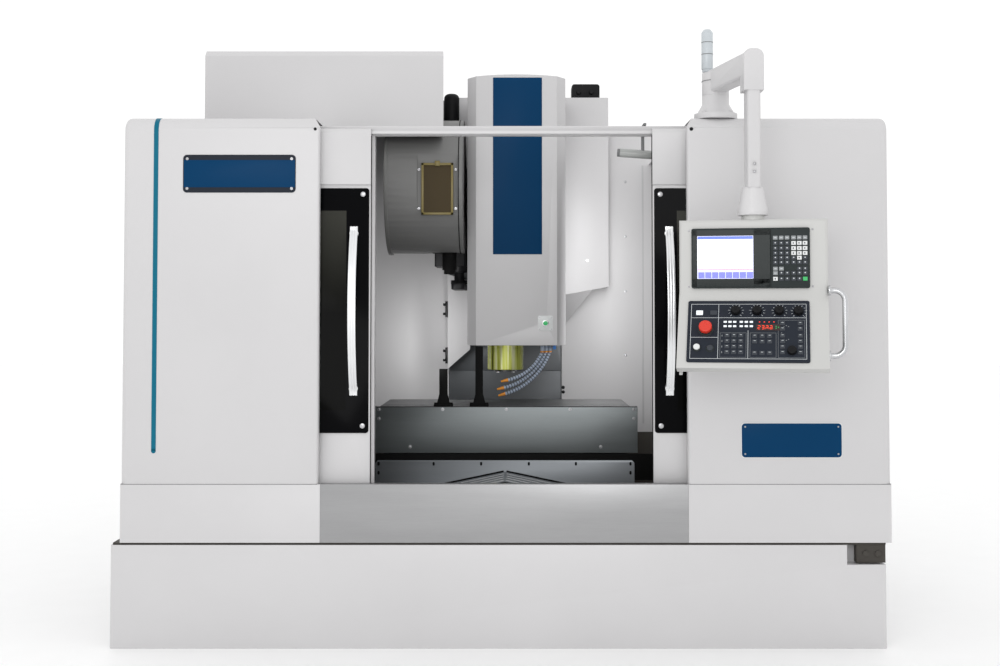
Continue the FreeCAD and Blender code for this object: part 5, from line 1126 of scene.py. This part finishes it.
@dataclass
class TableTrim:
    """Screws, slots and dark gaps round the table's guard and the saddle's apron; the gap above the apron is
    a black sheet of painted shade.
    """

    screw_left: float = 0.022
    screw_right: float = 0.018
    screw_rows: tuple[float, float] = (0.013, 0.056)
    low_screws: tuple[float, float, float] = (0.170, 0.175, 0.030)
    apron_slots: tuple[float, ...] = (-0.566, -0.309, -0.087, 0.136, 0.356, 0.611)
    slot_rows: tuple[float, float] = (0.016, 0.058)
    slot_half: tuple[float, float] = (0.005, 0.0085)
    apron_top: float = 0.692
    apron_depth: float = 0.720
    gap_shade_box: Point = (-0.588, 0.600, 0.742, 0.722)

    def build(self, finishes: Finishes) -> None:
        """Makes the screws, the apron's slots and a black sheet of painted shade behind the apron."""
        low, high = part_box("table_guard")
        shape = Shape()
        first, last = low.x + self.screw_left, high.x - self.screw_right
        upper, lower = (high.z - drop for drop in self.screw_rows)
        for part in range(5):
            shape.screw((first + part * (last - first) / 4, low.y, upper))
        for x in (first, last):
            shape.screw((x, low.y, lower))
        left, right, rise = self.low_screws
        for x in (low.x + left, high.x - right):
            shape.screw((x, low.y, low.z + rise))
        shape.piece("guard_screws", finishes["screw_steel"], "table", "bright_steel")
        line = Shape().box((low.x + 0.002, low.y - 0.0005, high.z - 0.0025),
                           (high.x - 0.002, low.y + 0.004, high.z + 0.0008))
        line.piece("guard_lip_line", finishes["knob_black"], "table", "guard_grey")
        slots = Shape()
        upper, lower = (self.apron_top - drop for drop in self.slot_rows)
        places = [(x, upper) for x in self.apron_slots] + [(x, lower) for x in self.apron_slots[::5]]
        wide, high_half = self.slot_half
        for x, z in places:
            slots.plate(at(x - wide, self.apron_depth - 0.0008, z - high_half),
                        at(x + wide, self.apron_depth + 0.001, z + high_half), Way.Y, 0.0045, 0.0)
        slots.piece("apron_slots", finishes["rubber_black"], "saddle", "guard_grey")
        # Painted shade: a black sheet behind the apron stands in for the shadow in the gap above it.
        low_x, low_z, high_x, high_z = self.gap_shade_box
        gap_shade_sheet = Shape().box(at(low_x, self.apron_depth + 0.0012, low_z),
                            at(high_x, self.apron_depth + 0.0026, high_z), 0.0005)
        gap_shade_sheet.piece("saddle_gap_shade", finishes["rubber_black"], "saddle", "motor_black")


@dataclass
class WayCovers:
    """Bright wiper lips, ridge line and a painted shadow line at the rear of the roof-shaped way covers."""

    lip: float = 0.005
    ridge_height: float = 0.639
    fold_depths: tuple[float, ...] = (0.400, 0.480, 0.560, 0.640)
    shadow_line_depth: float = 0.7165
    half_width: float = 0.470
    slope: float = math.radians(11.8)

    def lips(self, node: str, body: str, name: str, finishes: Finishes) -> None:
        """Two sloped strips that meet at the cover's ridge.

        Args:
            node: The cover's CAD node.
            body: The body that it rides on.
            name: The piece's name.
            finishes: The machine's finishes.
        """
        low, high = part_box(node)
        middle, half = (low.x + high.x) / 2, (high.x - low.x) / 2
        length = half / math.cos(self.slope) - 0.02
        shape = Shape()
        for side in (-1, 1):
            turn = Matrix.Translation((middle, low.y, high.z)) @ Matrix.Rotation(side * self.slope, 4, "Y")
            x_low, x_high = sorted((0.004 * side, length * side))
            shape.box((x_low, -0.0015, -0.0005), (x_high, self.lip, 0.0018), 0.0006, 1, turn)
        shape.piece(name, finishes["screw_steel"], body, "bright_steel")

    def build(self, finishes: Finishes) -> None:
        """Makes the lips of the moving cover, and the folds and a black painted shadow line where the one on
        the saddle meets the apron.
        """
        self.lips("y_cover_mid", "y_cover_mid", "mid_cover_lip", finishes)
        low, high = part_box("y_cover_mid")
        middle = (low.x + high.x) / 2
        folds, dark = Shape(), Shape()
        length = self.half_width / math.cos(self.slope) - 0.02
        for side in (-1, 1):
            x_low, x_high = sorted((0.006 * side, length * side))
            lean = Matrix.Rotation(side * self.slope, 4, "Y")
            for depth in self.fold_depths:
                turn = Matrix.Translation(at(middle, depth, self.ridge_height)) @ lean
                folds.box((x_low, -0.0025, -0.0005), (x_high, 0.0025, 0.0022), 0.0006, 1, turn)
            # Painted shadow: a black roof-shaped strip where the cover meets the apron.
            turn = Matrix.Translation(at(middle, self.shadow_line_depth, self.ridge_height)) @ lean
            dark.box((x_low, -0.001, -0.0005), (x_high, 0.003, 0.0075), 0.0, 1, turn)
        folds.piece("cover_folds", finishes["fold_grey"], "saddle", "way_cover_grey")
        dark.piece("cover_shadow_line", finishes["rubber_black"], "saddle", "way_cover_grey")


@dataclass
class Pendant:
    """Screen, keys, dials and print of the control pendant."""

    bezel_out: float = 0.008
    desk_out: float = 0.005
    face_back: float = 0.055
    desk_top: float = 1.439

    def __post_init__(self) -> None:
        """Works out the two faces' frames from the pendant's joints."""
        axis = Vector(joint("knob_1_turn")["axis"])
        yaw = math.atan2(axis.x, -axis.y)
        tilt = math.asin(axis.z)
        swivel = joint("pendant_swivel")["pos_m"]
        stand = Matrix.Translation((swivel[0], swivel[1], 0)) @ Matrix.Rotation(yaw, 4, "Z")
        self.face = stand @ Matrix.Translation((0, -self.face_back, 0)) @ Matrix.Rotation(math.pi / 2, 4, "X")
        self.desk = stand @ Matrix.Translation((0, -self.face_back, self.desk_top)) @ Matrix.Rotation(
            math.pi / 2 - tilt, 4, "X")

    def keys(self, shape: Shape, places: Iterable[tuple[float, float]], size: Point, out: float,
             turn: Matrix) -> None:
        """Adds one raised key at each place.

        Args:
            shape: The shape that they are added to.
            places: Each key's middle, across and up its face, in millimetres.
            size: A key's width, height and thickness in millimetres.
            out: The panel surface's distance from the face's plane.
            turn: The face's frame.
        """
        wide, high, thick = (value / 1000 for value in size)
        for x, y in places:
            shape.box((x / 1000 - wide / 2, y / 1000 - high / 2, out - 0.0005),
                      (x / 1000 + wide / 2, y / 1000 + high / 2, out + thick), min(0.0008, thick * 0.4), 1,
                      turn)

    def outline(self, shape: Shape, corners: Point, out: float, turn: Matrix, wide: float = 1.6) -> None:
        """Adds a printed line round a rectangle: low x and y, then high x and y, in millimetres."""
        low_x, low_y, high_x, high_y = corners
        for place, size in ((((low_x + high_x) / 2, low_y), (high_x - low_x + wide, wide)),
                            (((low_x + high_x) / 2, high_y), (high_x - low_x + wide, wide)),
                            ((low_x, (low_y + high_y) / 2), (wide, high_y - low_y)),
                            ((high_x, (low_y + high_y) / 2), (wide, high_y - low_y))):
            self.keys(shape, [place], (*size, 0.25), out, turn)

    def screen(self, finishes: Finishes) -> None:
        """The lit screen, its glossy surround and the row of soft keys under it."""
        corner = self.face @ Vector((-0.212, 1.514, 0))
        right = (self.face.to_3x3() @ Vector((1, 0, 0)))
        up = (self.face.to_3x3() @ Vector((0, 1, 0)))
        finishes.listed["lit_screen"] = Screen("lit_screen", corner, right, up, (0.213, 0.164))
        lit = Shape().plate((-0.2135, 1.5125, 0.0048), (0.0025, 1.6795, 0.0066), Way.Z, 0.002, 0.0, self.face)
        lit.piece("screen", finishes["lit_screen"], "pendant", "panel_dark")
        rim = Shape()
        for low, high in (((-0.232, 1.481), (-0.215, 1.703)), ((0.004, 1.481), (0.066, 1.703)),
                          ((-0.232, 1.681), (0.066, 1.703)), ((-0.232, 1.481), (0.066, 1.511))):
            rim.box((*low, self.bezel_out - 0.0005), (*high, self.bezel_out + 0.0008), 0.0003, 1, self.face)
        rim.piece("screen_surround", finishes["screen_gloss"], "pendant", "panel_dark")
        soft = Shape()
        self.keys(soft, [(-205 + 21.5 * step, 1488) for step in range(12)], (9, 3.2, 1.0),
                  self.bezel_out + 0.0006, self.face)
        self.keys(soft, [(-224, 1560 + 30 * step) for step in range(3)], (4, 7, 1.0), self.bezel_out + 0.0006,
                  self.face)
        soft.piece("soft_keys", finishes["bezel_plastic"], "pendant", "panel_dark")
        seam = Shape()
        self.keys(seam, [(69, 1592)], (1.6, 226, 0.4), self.bezel_out, self.face)
        seam.piece("unit_seam", finishes["rubber_black"], "pendant", "panel_dark")

    def keypad(self, finishes: Finishes) -> None:
        """The keypad beside the screen: dark, grey, white and green keys with plain marks."""
        columns = (86.4, 109.0, 131.0, 155.6, 177.3, 198.7)
        rows = (1670, 1649, 1629, 1610, 1592, 1574, 1550, 1533, 1511)
        size = (17.5, 15.0, 2.4)
        cells_of = {"key_pale": {(3, 1), (4, 1), (5, 1), (3, 2), (4, 2), (5, 2), (3, 3), (4, 3), (5, 3),
                                 (4, 4), (0, 8)},
                    "key_grey": {(column, 0) for column in range(6)} | {(0, 6), (1, 6), (0, 7)},
                    "key_green": {(5, 8)}}
        empty = {(2, 6), (3, 6)}
        groups: dict[str, list[Point]] = {kind: [] for kind in ("key_pale", "key_grey", "key_dark",
                                                                "key_green")}
        for column, x in enumerate(columns):
            for row, z in enumerate(rows):
                if (column, row) in empty:
                    continue
                kind = next((name for name, cells in cells_of.items() if (column, row) in cells), "key_dark")
                groups[kind].append((x, z))
        for kind, places in groups.items():
            shape = Shape()
            self.keys(shape, places, size, self.bezel_out, self.face)
            shape.piece(f"keypad_{kind}", finishes[kind], "pendant", "panel_dark")
        marks, dark_marks = Shape(), Shape()
        top = self.bezel_out + size[2] / 1000
        self.keys(marks, [(x, z + 1.5) for x, z in groups["key_dark"]], (4.6, 4.2, 0.2), top, self.face)
        self.keys(marks, [(x, z) for x, z in groups["key_grey"]], (9.5, 2.2, 0.2), top, self.face)
        self.keys(dark_marks, [(x - 1, z) for x, z in groups["key_pale"]], (4.4, 5.6, 0.2), top, self.face)
        marks.piece("keypad_marks", finishes["line_white"], "pendant", "panel_dark")
        dark_marks.piece("keypad_dark_marks", finishes["key_dark"], "pendant", "panel_dark")

    def desk_print(self, finishes: Finishes) -> None:
        """White lines, dial marks and key marks printed on the operator's panel."""
        lines = Shape()
        out = self.desk_out
        self.outline(lines, (-235, -272, 201, -33), out, self.desk)
        self.keys(lines, [(-130, -152)], (1.6, 239, 0.25), out, self.desk)
        self.keys(lines, [(-17, -93.5)], (436, 1.6, 0.25), out, self.desk)
        self.keys(lines, [(-182, -180)], (105, 1.6, 0.25), out, self.desk)
        self.keys(lines, [(-17, -210)], (1.6, 122, 0.25), out, self.desk)
        for number in range(1, 5):
            low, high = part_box(f"knob_{number}")
            middle = self.desk.inverted() @ ((low + high) / 2)
            centre = self.desk @ Matrix.Translation((middle.x, middle.y, 0))
            for step in range(11):
                angle = math.radians(225 - step * 27)
                turn = centre @ Matrix.Rotation(angle, 4, "Z")
                self.keys(lines, [(26.5, 0)], (5.0 if step % 2 else 7.5, 1.3, 0.25), out, turn)
        lines.piece("desk_lines", finishes["line_white"], "pendant", "panel_dark")
        dim = Shape()
        for corners in ((-122, -266, -24, -160), (-9, -266, 88, -160), (96, -266, 194, -104)):
            self.outline(dim, corners, out, self.desk, 0.9)
        for row in range(4):
            self.keys(dim, [(-115, -172 - row * 24)], (2.5, 8, 0.25), out, self.desk)
        for step in range(9):
            angle = math.radians(60 + step * 30)
            self.keys(dim, [(126 + 17 * math.cos(angle), -160 + 32 * math.sin(angle))], (3.2, 3.2, 0.25), out,
                      self.desk)
        dim.piece("desk_dim_lines", finishes["key_grey"], "pendant", "panel_dark")

    def desk_keys(self, finishes: Finishes) -> None:
        """Lit keys, key groups, the power buttons, the hold button and the mode knob."""
        out = self.desk_out
        white = Shape()
        self.keys(white, [(x, y) for x in (-104, -86, -68, -43, -24, -5) for y in (-112, -131)],
                  (12.5, 8.0, 1.6), out, self.desk)
        white.plate((-0.216, -0.082, out - 0.0005), (-0.190, -0.063, out + 0.004), Way.Z, 0.002, 0.0006,
                    self.desk)
        white.piece("desk_white_keys", finishes["key_lit"], "pendant", "panel_dark")
        dark = Shape()
        places = [(x, -172 - row * 24) for x in (-96, -70, -44) for row in range(4)]
        places += [(x, y) for x in (8, 36, 64) for y in (-174, -198, -247)]
        places += [(x, -118 - row * 24) for x in (112, 178) for row in range(2)]
        places += [(x, -172 - row * 24) for x in (112, 178) for row in range(4)]
        self.keys(dark, places, (19, 17, 2.2), out, self.desk)
        dark.plate((-0.162, -0.082, out - 0.0005), (-0.136, -0.063, out + 0.004), Way.Z, 0.002, 0.0006,
                   self.desk)
        dark.piece("desk_dark_keys", finishes["key_dark"], "pendant", "panel_dark")
        marks = Shape()
        self.keys(marks, [(x, y + 3) for x, y in places], (8.0, 1.8, 0.2), out + 0.0022, self.desk)
        marks.piece("desk_key_marks", finishes["line_white"], "pendant", "panel_dark")
        digits_back = Shape()
        digits_back.plate((0.012, -0.150, out - 0.0005), (0.104, -0.122, out + 0.0014), Way.Z, 0.002, 0.0004,
                          self.desk)
        digits_back.piece("counter_window", finishes["digits_back"], "pendant", "panel_dark")
        digits = Shape()
        lit = ((1, 1, 0, 0), (1, 0, 1, 1), (0, 1, 1, 0), (1, 1, 1, 1))
        for index, segments in enumerate(lit):
            x = 24 + index * 15
            bars = [(x, -128.5), (x, -136), (x, -143.5)][: 2 + segments[0]]
            uprights = [(x + 4.2, -132)] + [(x - 4.2, -140)] * segments[1] + [(x + 4.2, -140)] * segments[2]
            self.keys(digits, bars, (7.5, 1.5, 0.2), out + 0.0014, self.desk)
            self.keys(digits, uprights, (1.5, 6.2, 0.2), out + 0.0014, self.desk)
        digits.piece("counter_digits", finishes["digits_red"], "pendant", "panel_dark")
        green = Shape()
        self.keys(green, [(88, -132), (88, -140), (97, -136)], (4.0, 4.0, 0.3), out + 0.0014, self.desk)
        green.piece("counter_lamps", finishes["key_green"], "pendant", "panel_dark")
        small = Shape()
        self.keys(small, [(x, -112) for x in (26, 44, 62, 80)], (5.0, 4.0, 0.5), out, self.desk)
        small.piece("desk_lamps", finishes["light_red"], "pendant", "panel_dark")
        knob = Shape()
        knob.round((0.147, -0.238, out), Way.Z, 0.0185, 0.016, 0.0165, 28, 0.0015, self.desk)
        knob.box((0.1455, -0.238, out + 0.0155), (0.1485, -0.222, out + 0.0168), 0.0004, 1, self.desk)
        knob.piece("mode_knob", finishes["knob_black"], "pendant", "knob_black")
        hold = Shape().round((-0.159, -0.229, out), Way.Z, 0.0125, 0.008, 0.0115, 28, 0.001, self.desk)
        hold.piece("hold_button", finishes["key_dark"], "pendant", "knob_black")
        rings = Shape()
        for x, y, radius in ((-0.159, -0.229, 0.0165), (-0.210, -0.226, 0.0165), (-0.178, -0.144, 0.0310)):
            rings.round((x, y, out - 0.0005), Way.Z, radius, 0.0024, radius - 0.0015, 32, 0.0005, self.desk)
        rings.piece("button_collars", finishes["bezel_plastic"], "pendant", "panel_dark")

    def pointers(self, finishes: Finishes) -> None:
        """A white pointer line on each turning knob."""
        for number in range(1, 5):
            low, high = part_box(f"knob_{number}")
            middle = self.desk.inverted() @ ((low + high) / 2)
            top = self.desk_out + 0.0175
            shape = Shape()
            shape.box((middle.x - 0.0009, middle.y + 0.004, top),
                      (middle.x + 0.0009, middle.y + 0.0165, top + 0.0006), turn=self.desk)
            shape.piece(f"knob_{number}_pointer", finishes["line_white"], f"knob_{number}", "knob_black")

    def case(self, finishes: Finishes) -> None:
        """Screws on the case's face and back."""
        screws = Shape()
        for x in (-0.246, 0.228):
            for z in (1.482, 1.702):
                screws.screw(self.face @ Vector((x, z, 0.0)), Way.Y, 0.0035, 0.002)
        back = self.face @ Matrix.Translation((0, 0, -0.120))
        for x in (-0.25, 0.0, 0.25):
            for z in (1.41, 1.70):
                screws.round((x, z, 0), Way.Z, 0.006, -0.003, 0.004, 20, 0.0006, back)
        screws.piece("pendant_screws", finishes["screw_steel"], "pendant", "bright_steel")

    def build(self, finishes: Finishes) -> None:
        """Makes every piece of the pendant's trim."""
        self.screen(finishes)
        self.keypad(finishes)
        self.desk_print(finishes)
        self.desk_keys(finishes)
        self.pointers(finishes)
        self.case(finishes)


@dataclass
class SwingArm:
    """Seam and screws of the arm that carries the pendant, and the rings of the tower beside it."""

    seam_height: float = 2.360

    def build(self, finishes: Finishes) -> None:
        """Makes the arm's seam and screws, and the signal tower's rings."""
        swivel, pivot = joint("pendant_swivel")["pos_m"], joint("swing_arm_swing")["pos_m"]
        seam = Shape()
        seam.round((pivot[0], pivot[1], self.seam_height), Way.Z, 0.0585, 0.003, sides=64)
        seam.piece("arm_seam", finishes["seam_grey"], "machine", "enclosure_white")
        screws = Shape()
        drop_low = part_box("swing_arm")[0]
        for z in (drop_low.z + 0.17, drop_low.z + 0.20):
            screws.screw((swivel[0], drop_low.y + 0.012, z), radius=0.005)
        screws.piece("arm_screws", finishes["screw_steel"], "swing_arm", "bright_steel")
        tower_low, tower_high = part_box("signal_tower")
        middle = (tower_low + tower_high) / 2
        clip = Shape()
        clip.round((middle.x, middle.y, tower_low.z + 0.120), Way.Z, 0.0150, 0.018, sides=32, bevel=0.001)
        clip.round((middle.x, middle.y, tower_high.z - 0.110), Way.Z, 0.0256, 0.003, sides=48)
        clip.round((middle.x, middle.y, tower_high.z - 0.058), Way.Z, 0.0256, 0.003, sides=48)
        clip.piece("tower_rings", finishes["seam_grey"], "machine", "tower_clear")


@dataclass
class RearCabinet:
    """Louvres, latches and switch on the electrical cabinet's door."""

    rows: int = 8
    pitch: float = 0.030

    def build(self, finishes: Finishes) -> None:
        """Makes the door's fittings."""
        low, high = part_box("cabinet_door")
        back = high.y
        louvres = Shape()
        for bank in (low.z + 0.16, high.z - 0.42):
            for row in range(self.rows):
                spot = Matrix.Translation((0, back, bank + row * self.pitch))
                turn = spot @ Matrix.Rotation(-LOUVRE_TILT, 4, "X")
                louvres.box((low.x + 0.25, -0.002, -0.010), (high.x - 0.23, 0.002, 0.010), 0.0008, 2, turn)
        louvres.piece("door_louvres", finishes["enclosure_paint"], "cabinet_door", "enclosure_white")
        latches = Shape()
        for z in (low.z + 0.30, high.z - 0.55):
            latches.plate((high.x - 0.070, back - 0.001, z), (high.x - 0.040, back + 0.012, z + 0.11), Way.Y,
                          0.012, 0.002)
            latches.box((high.x - 0.060, back + 0.010, z + 0.015), (high.x - 0.050, back + 0.024, z + 0.095),
                        0.003)
        latches.piece("door_latches", finishes["knob_black"], "cabinet_door", "motor_black")
        switch = Shape()
        switch.plate((high.x - 0.20, back - 0.001, high.z - 0.30),
                     (high.x - 0.10, back + 0.004, high.z - 0.20), Way.Y, 0.010, 0.001)
        switch.piece("switch_plate", finishes["key_dark"], "cabinet_door", "motor_black")
        grip = Shape()
        grip.round((high.x - 0.15, back + 0.003, high.z - 0.25), Way.Y, 0.030, 0.014, 0.027, 32, 0.002)
        grip.box((high.x - 0.158, back + 0.015, high.z - 0.278),
                 (high.x - 0.142, back + 0.034, high.z - 0.222), 0.004)
        grip.piece("switch_grip", finishes["estop_red"], "cabinet_door", "estop_red")


@dataclass
class Studio:
    """The floor, the lights and the camera."""

    camera_place: Point = (0.048, -6.618, 1.374)
    lens: float = 47.7
    pitch: float = 2.0
    shift: Point = (-0.010, -0.065)
    floor_size: float = 60.0
    lamps: tuple[tuple[Any, ...], ...] = (
        ("front", (-0.6, -7.0, 2.6), (0.0, -0.2, 1.2), (3.0, 2.0), 70),
        ("chamber_left", at(-0.42, 0.80, 1.30), at(-0.42, 1.75, 1.30), (0.24, 0.40), 2.1, 130),
        ("chamber_right", at(0.52, 0.80, 1.55), at(0.52, 1.75, 1.50), (0.24, 0.90), 3.5, 130))
    air: float = 1.08

    def floor(self) -> None:
        """A plain pale floor."""
        graph = Graph("studio_floor")
        speck = graph.noise(6.0, 5.0)
        tone = graph.colour_mix(speck, (0.92, 0.92, 0.92, 1), (0.95, 0.95, 0.95, 1))
        shape = bmesh.new()
        bmesh.ops.create_grid(shape, x_segments=1, y_segments=1, size=self.floor_size / 2)
        data = bpy.data.meshes.new("floor")
        shape.to_mesh(data)
        shape.free()
        data.materials.append(graph.close(Base_Color=tone, Roughness=speck * 0.1 + 0.5))
        made = bpy.data.objects.new("floor", data)
        bpy.context.scene.collection.objects.link(made)

    def light(self, name: str, place: Point, target: Point, size: Point, power: float,
              spread: float = 180) -> None:
        """One soft area light turned to a target.

        Args:
            name: The light's name.
            place: Where it hangs.
            target: The point that it faces.
            size: Its width and height.
            power: Its strength in watts.
            spread: The full angle of its cone in degrees.
        """
        data = bpy.data.lights.new(name, "AREA")
        data.shape = "RECTANGLE"
        data.size, data.size_y = size
        data.energy = power
        data.spread = math.radians(spread)
        made = bpy.data.objects.new(name, data)
        bpy.context.scene.collection.objects.link(made)
        made.location = place
        made.rotation_euler = (Vector(target) - Vector(place)).to_track_quat("-Z", "Y").to_euler()

    def build(self) -> None:
        """Sets up the whole studio."""
        self.floor()
        for lamp in self.lamps:
            self.light(*lamp)
        world = bpy.data.worlds.new("studio_air")
        bpy.context.scene.world = world
        world.use_nodes = True
        sky = world.node_tree.nodes["Background"]
        sky.inputs["Color"].default_value = (1.0, 1.0, 1.0, 1)
        sky.inputs["Strength"].default_value = self.air
        bpy.context.scene.view_settings.view_transform = "Standard"
        data = bpy.data.cameras.new("camera")
        data.lens, data.sensor_width = self.lens, 36.0
        data.shift_x, data.shift_y = self.shift
        camera = bpy.data.objects.new("camera", data)
        bpy.context.scene.collection.objects.link(camera)
        camera.location = self.camera_place
        camera.rotation_euler = (math.radians(90 + self.pitch), 0, 0)
        bpy.context.scene.camera = camera


def main() -> None:
    """Builds the machine's finishes and trim, and the studio round it."""
    logging.basicConfig(level=logging.INFO, format="%(message)s")
    finishes = Finishes()
    Dressing().build(finishes)
    parts = (Enclosure(), SlidingDoor("left", -1.0), SlidingDoor("right", 1.0), Chamber(), Head(), Magazine(),
             TableTrim(), WayCovers(), Pendant(), SwingArm(), RearCabinet())
    for part in parts:
        part.build(finishes)
    Studio().build()


if __name__ == "__main__":
    main()
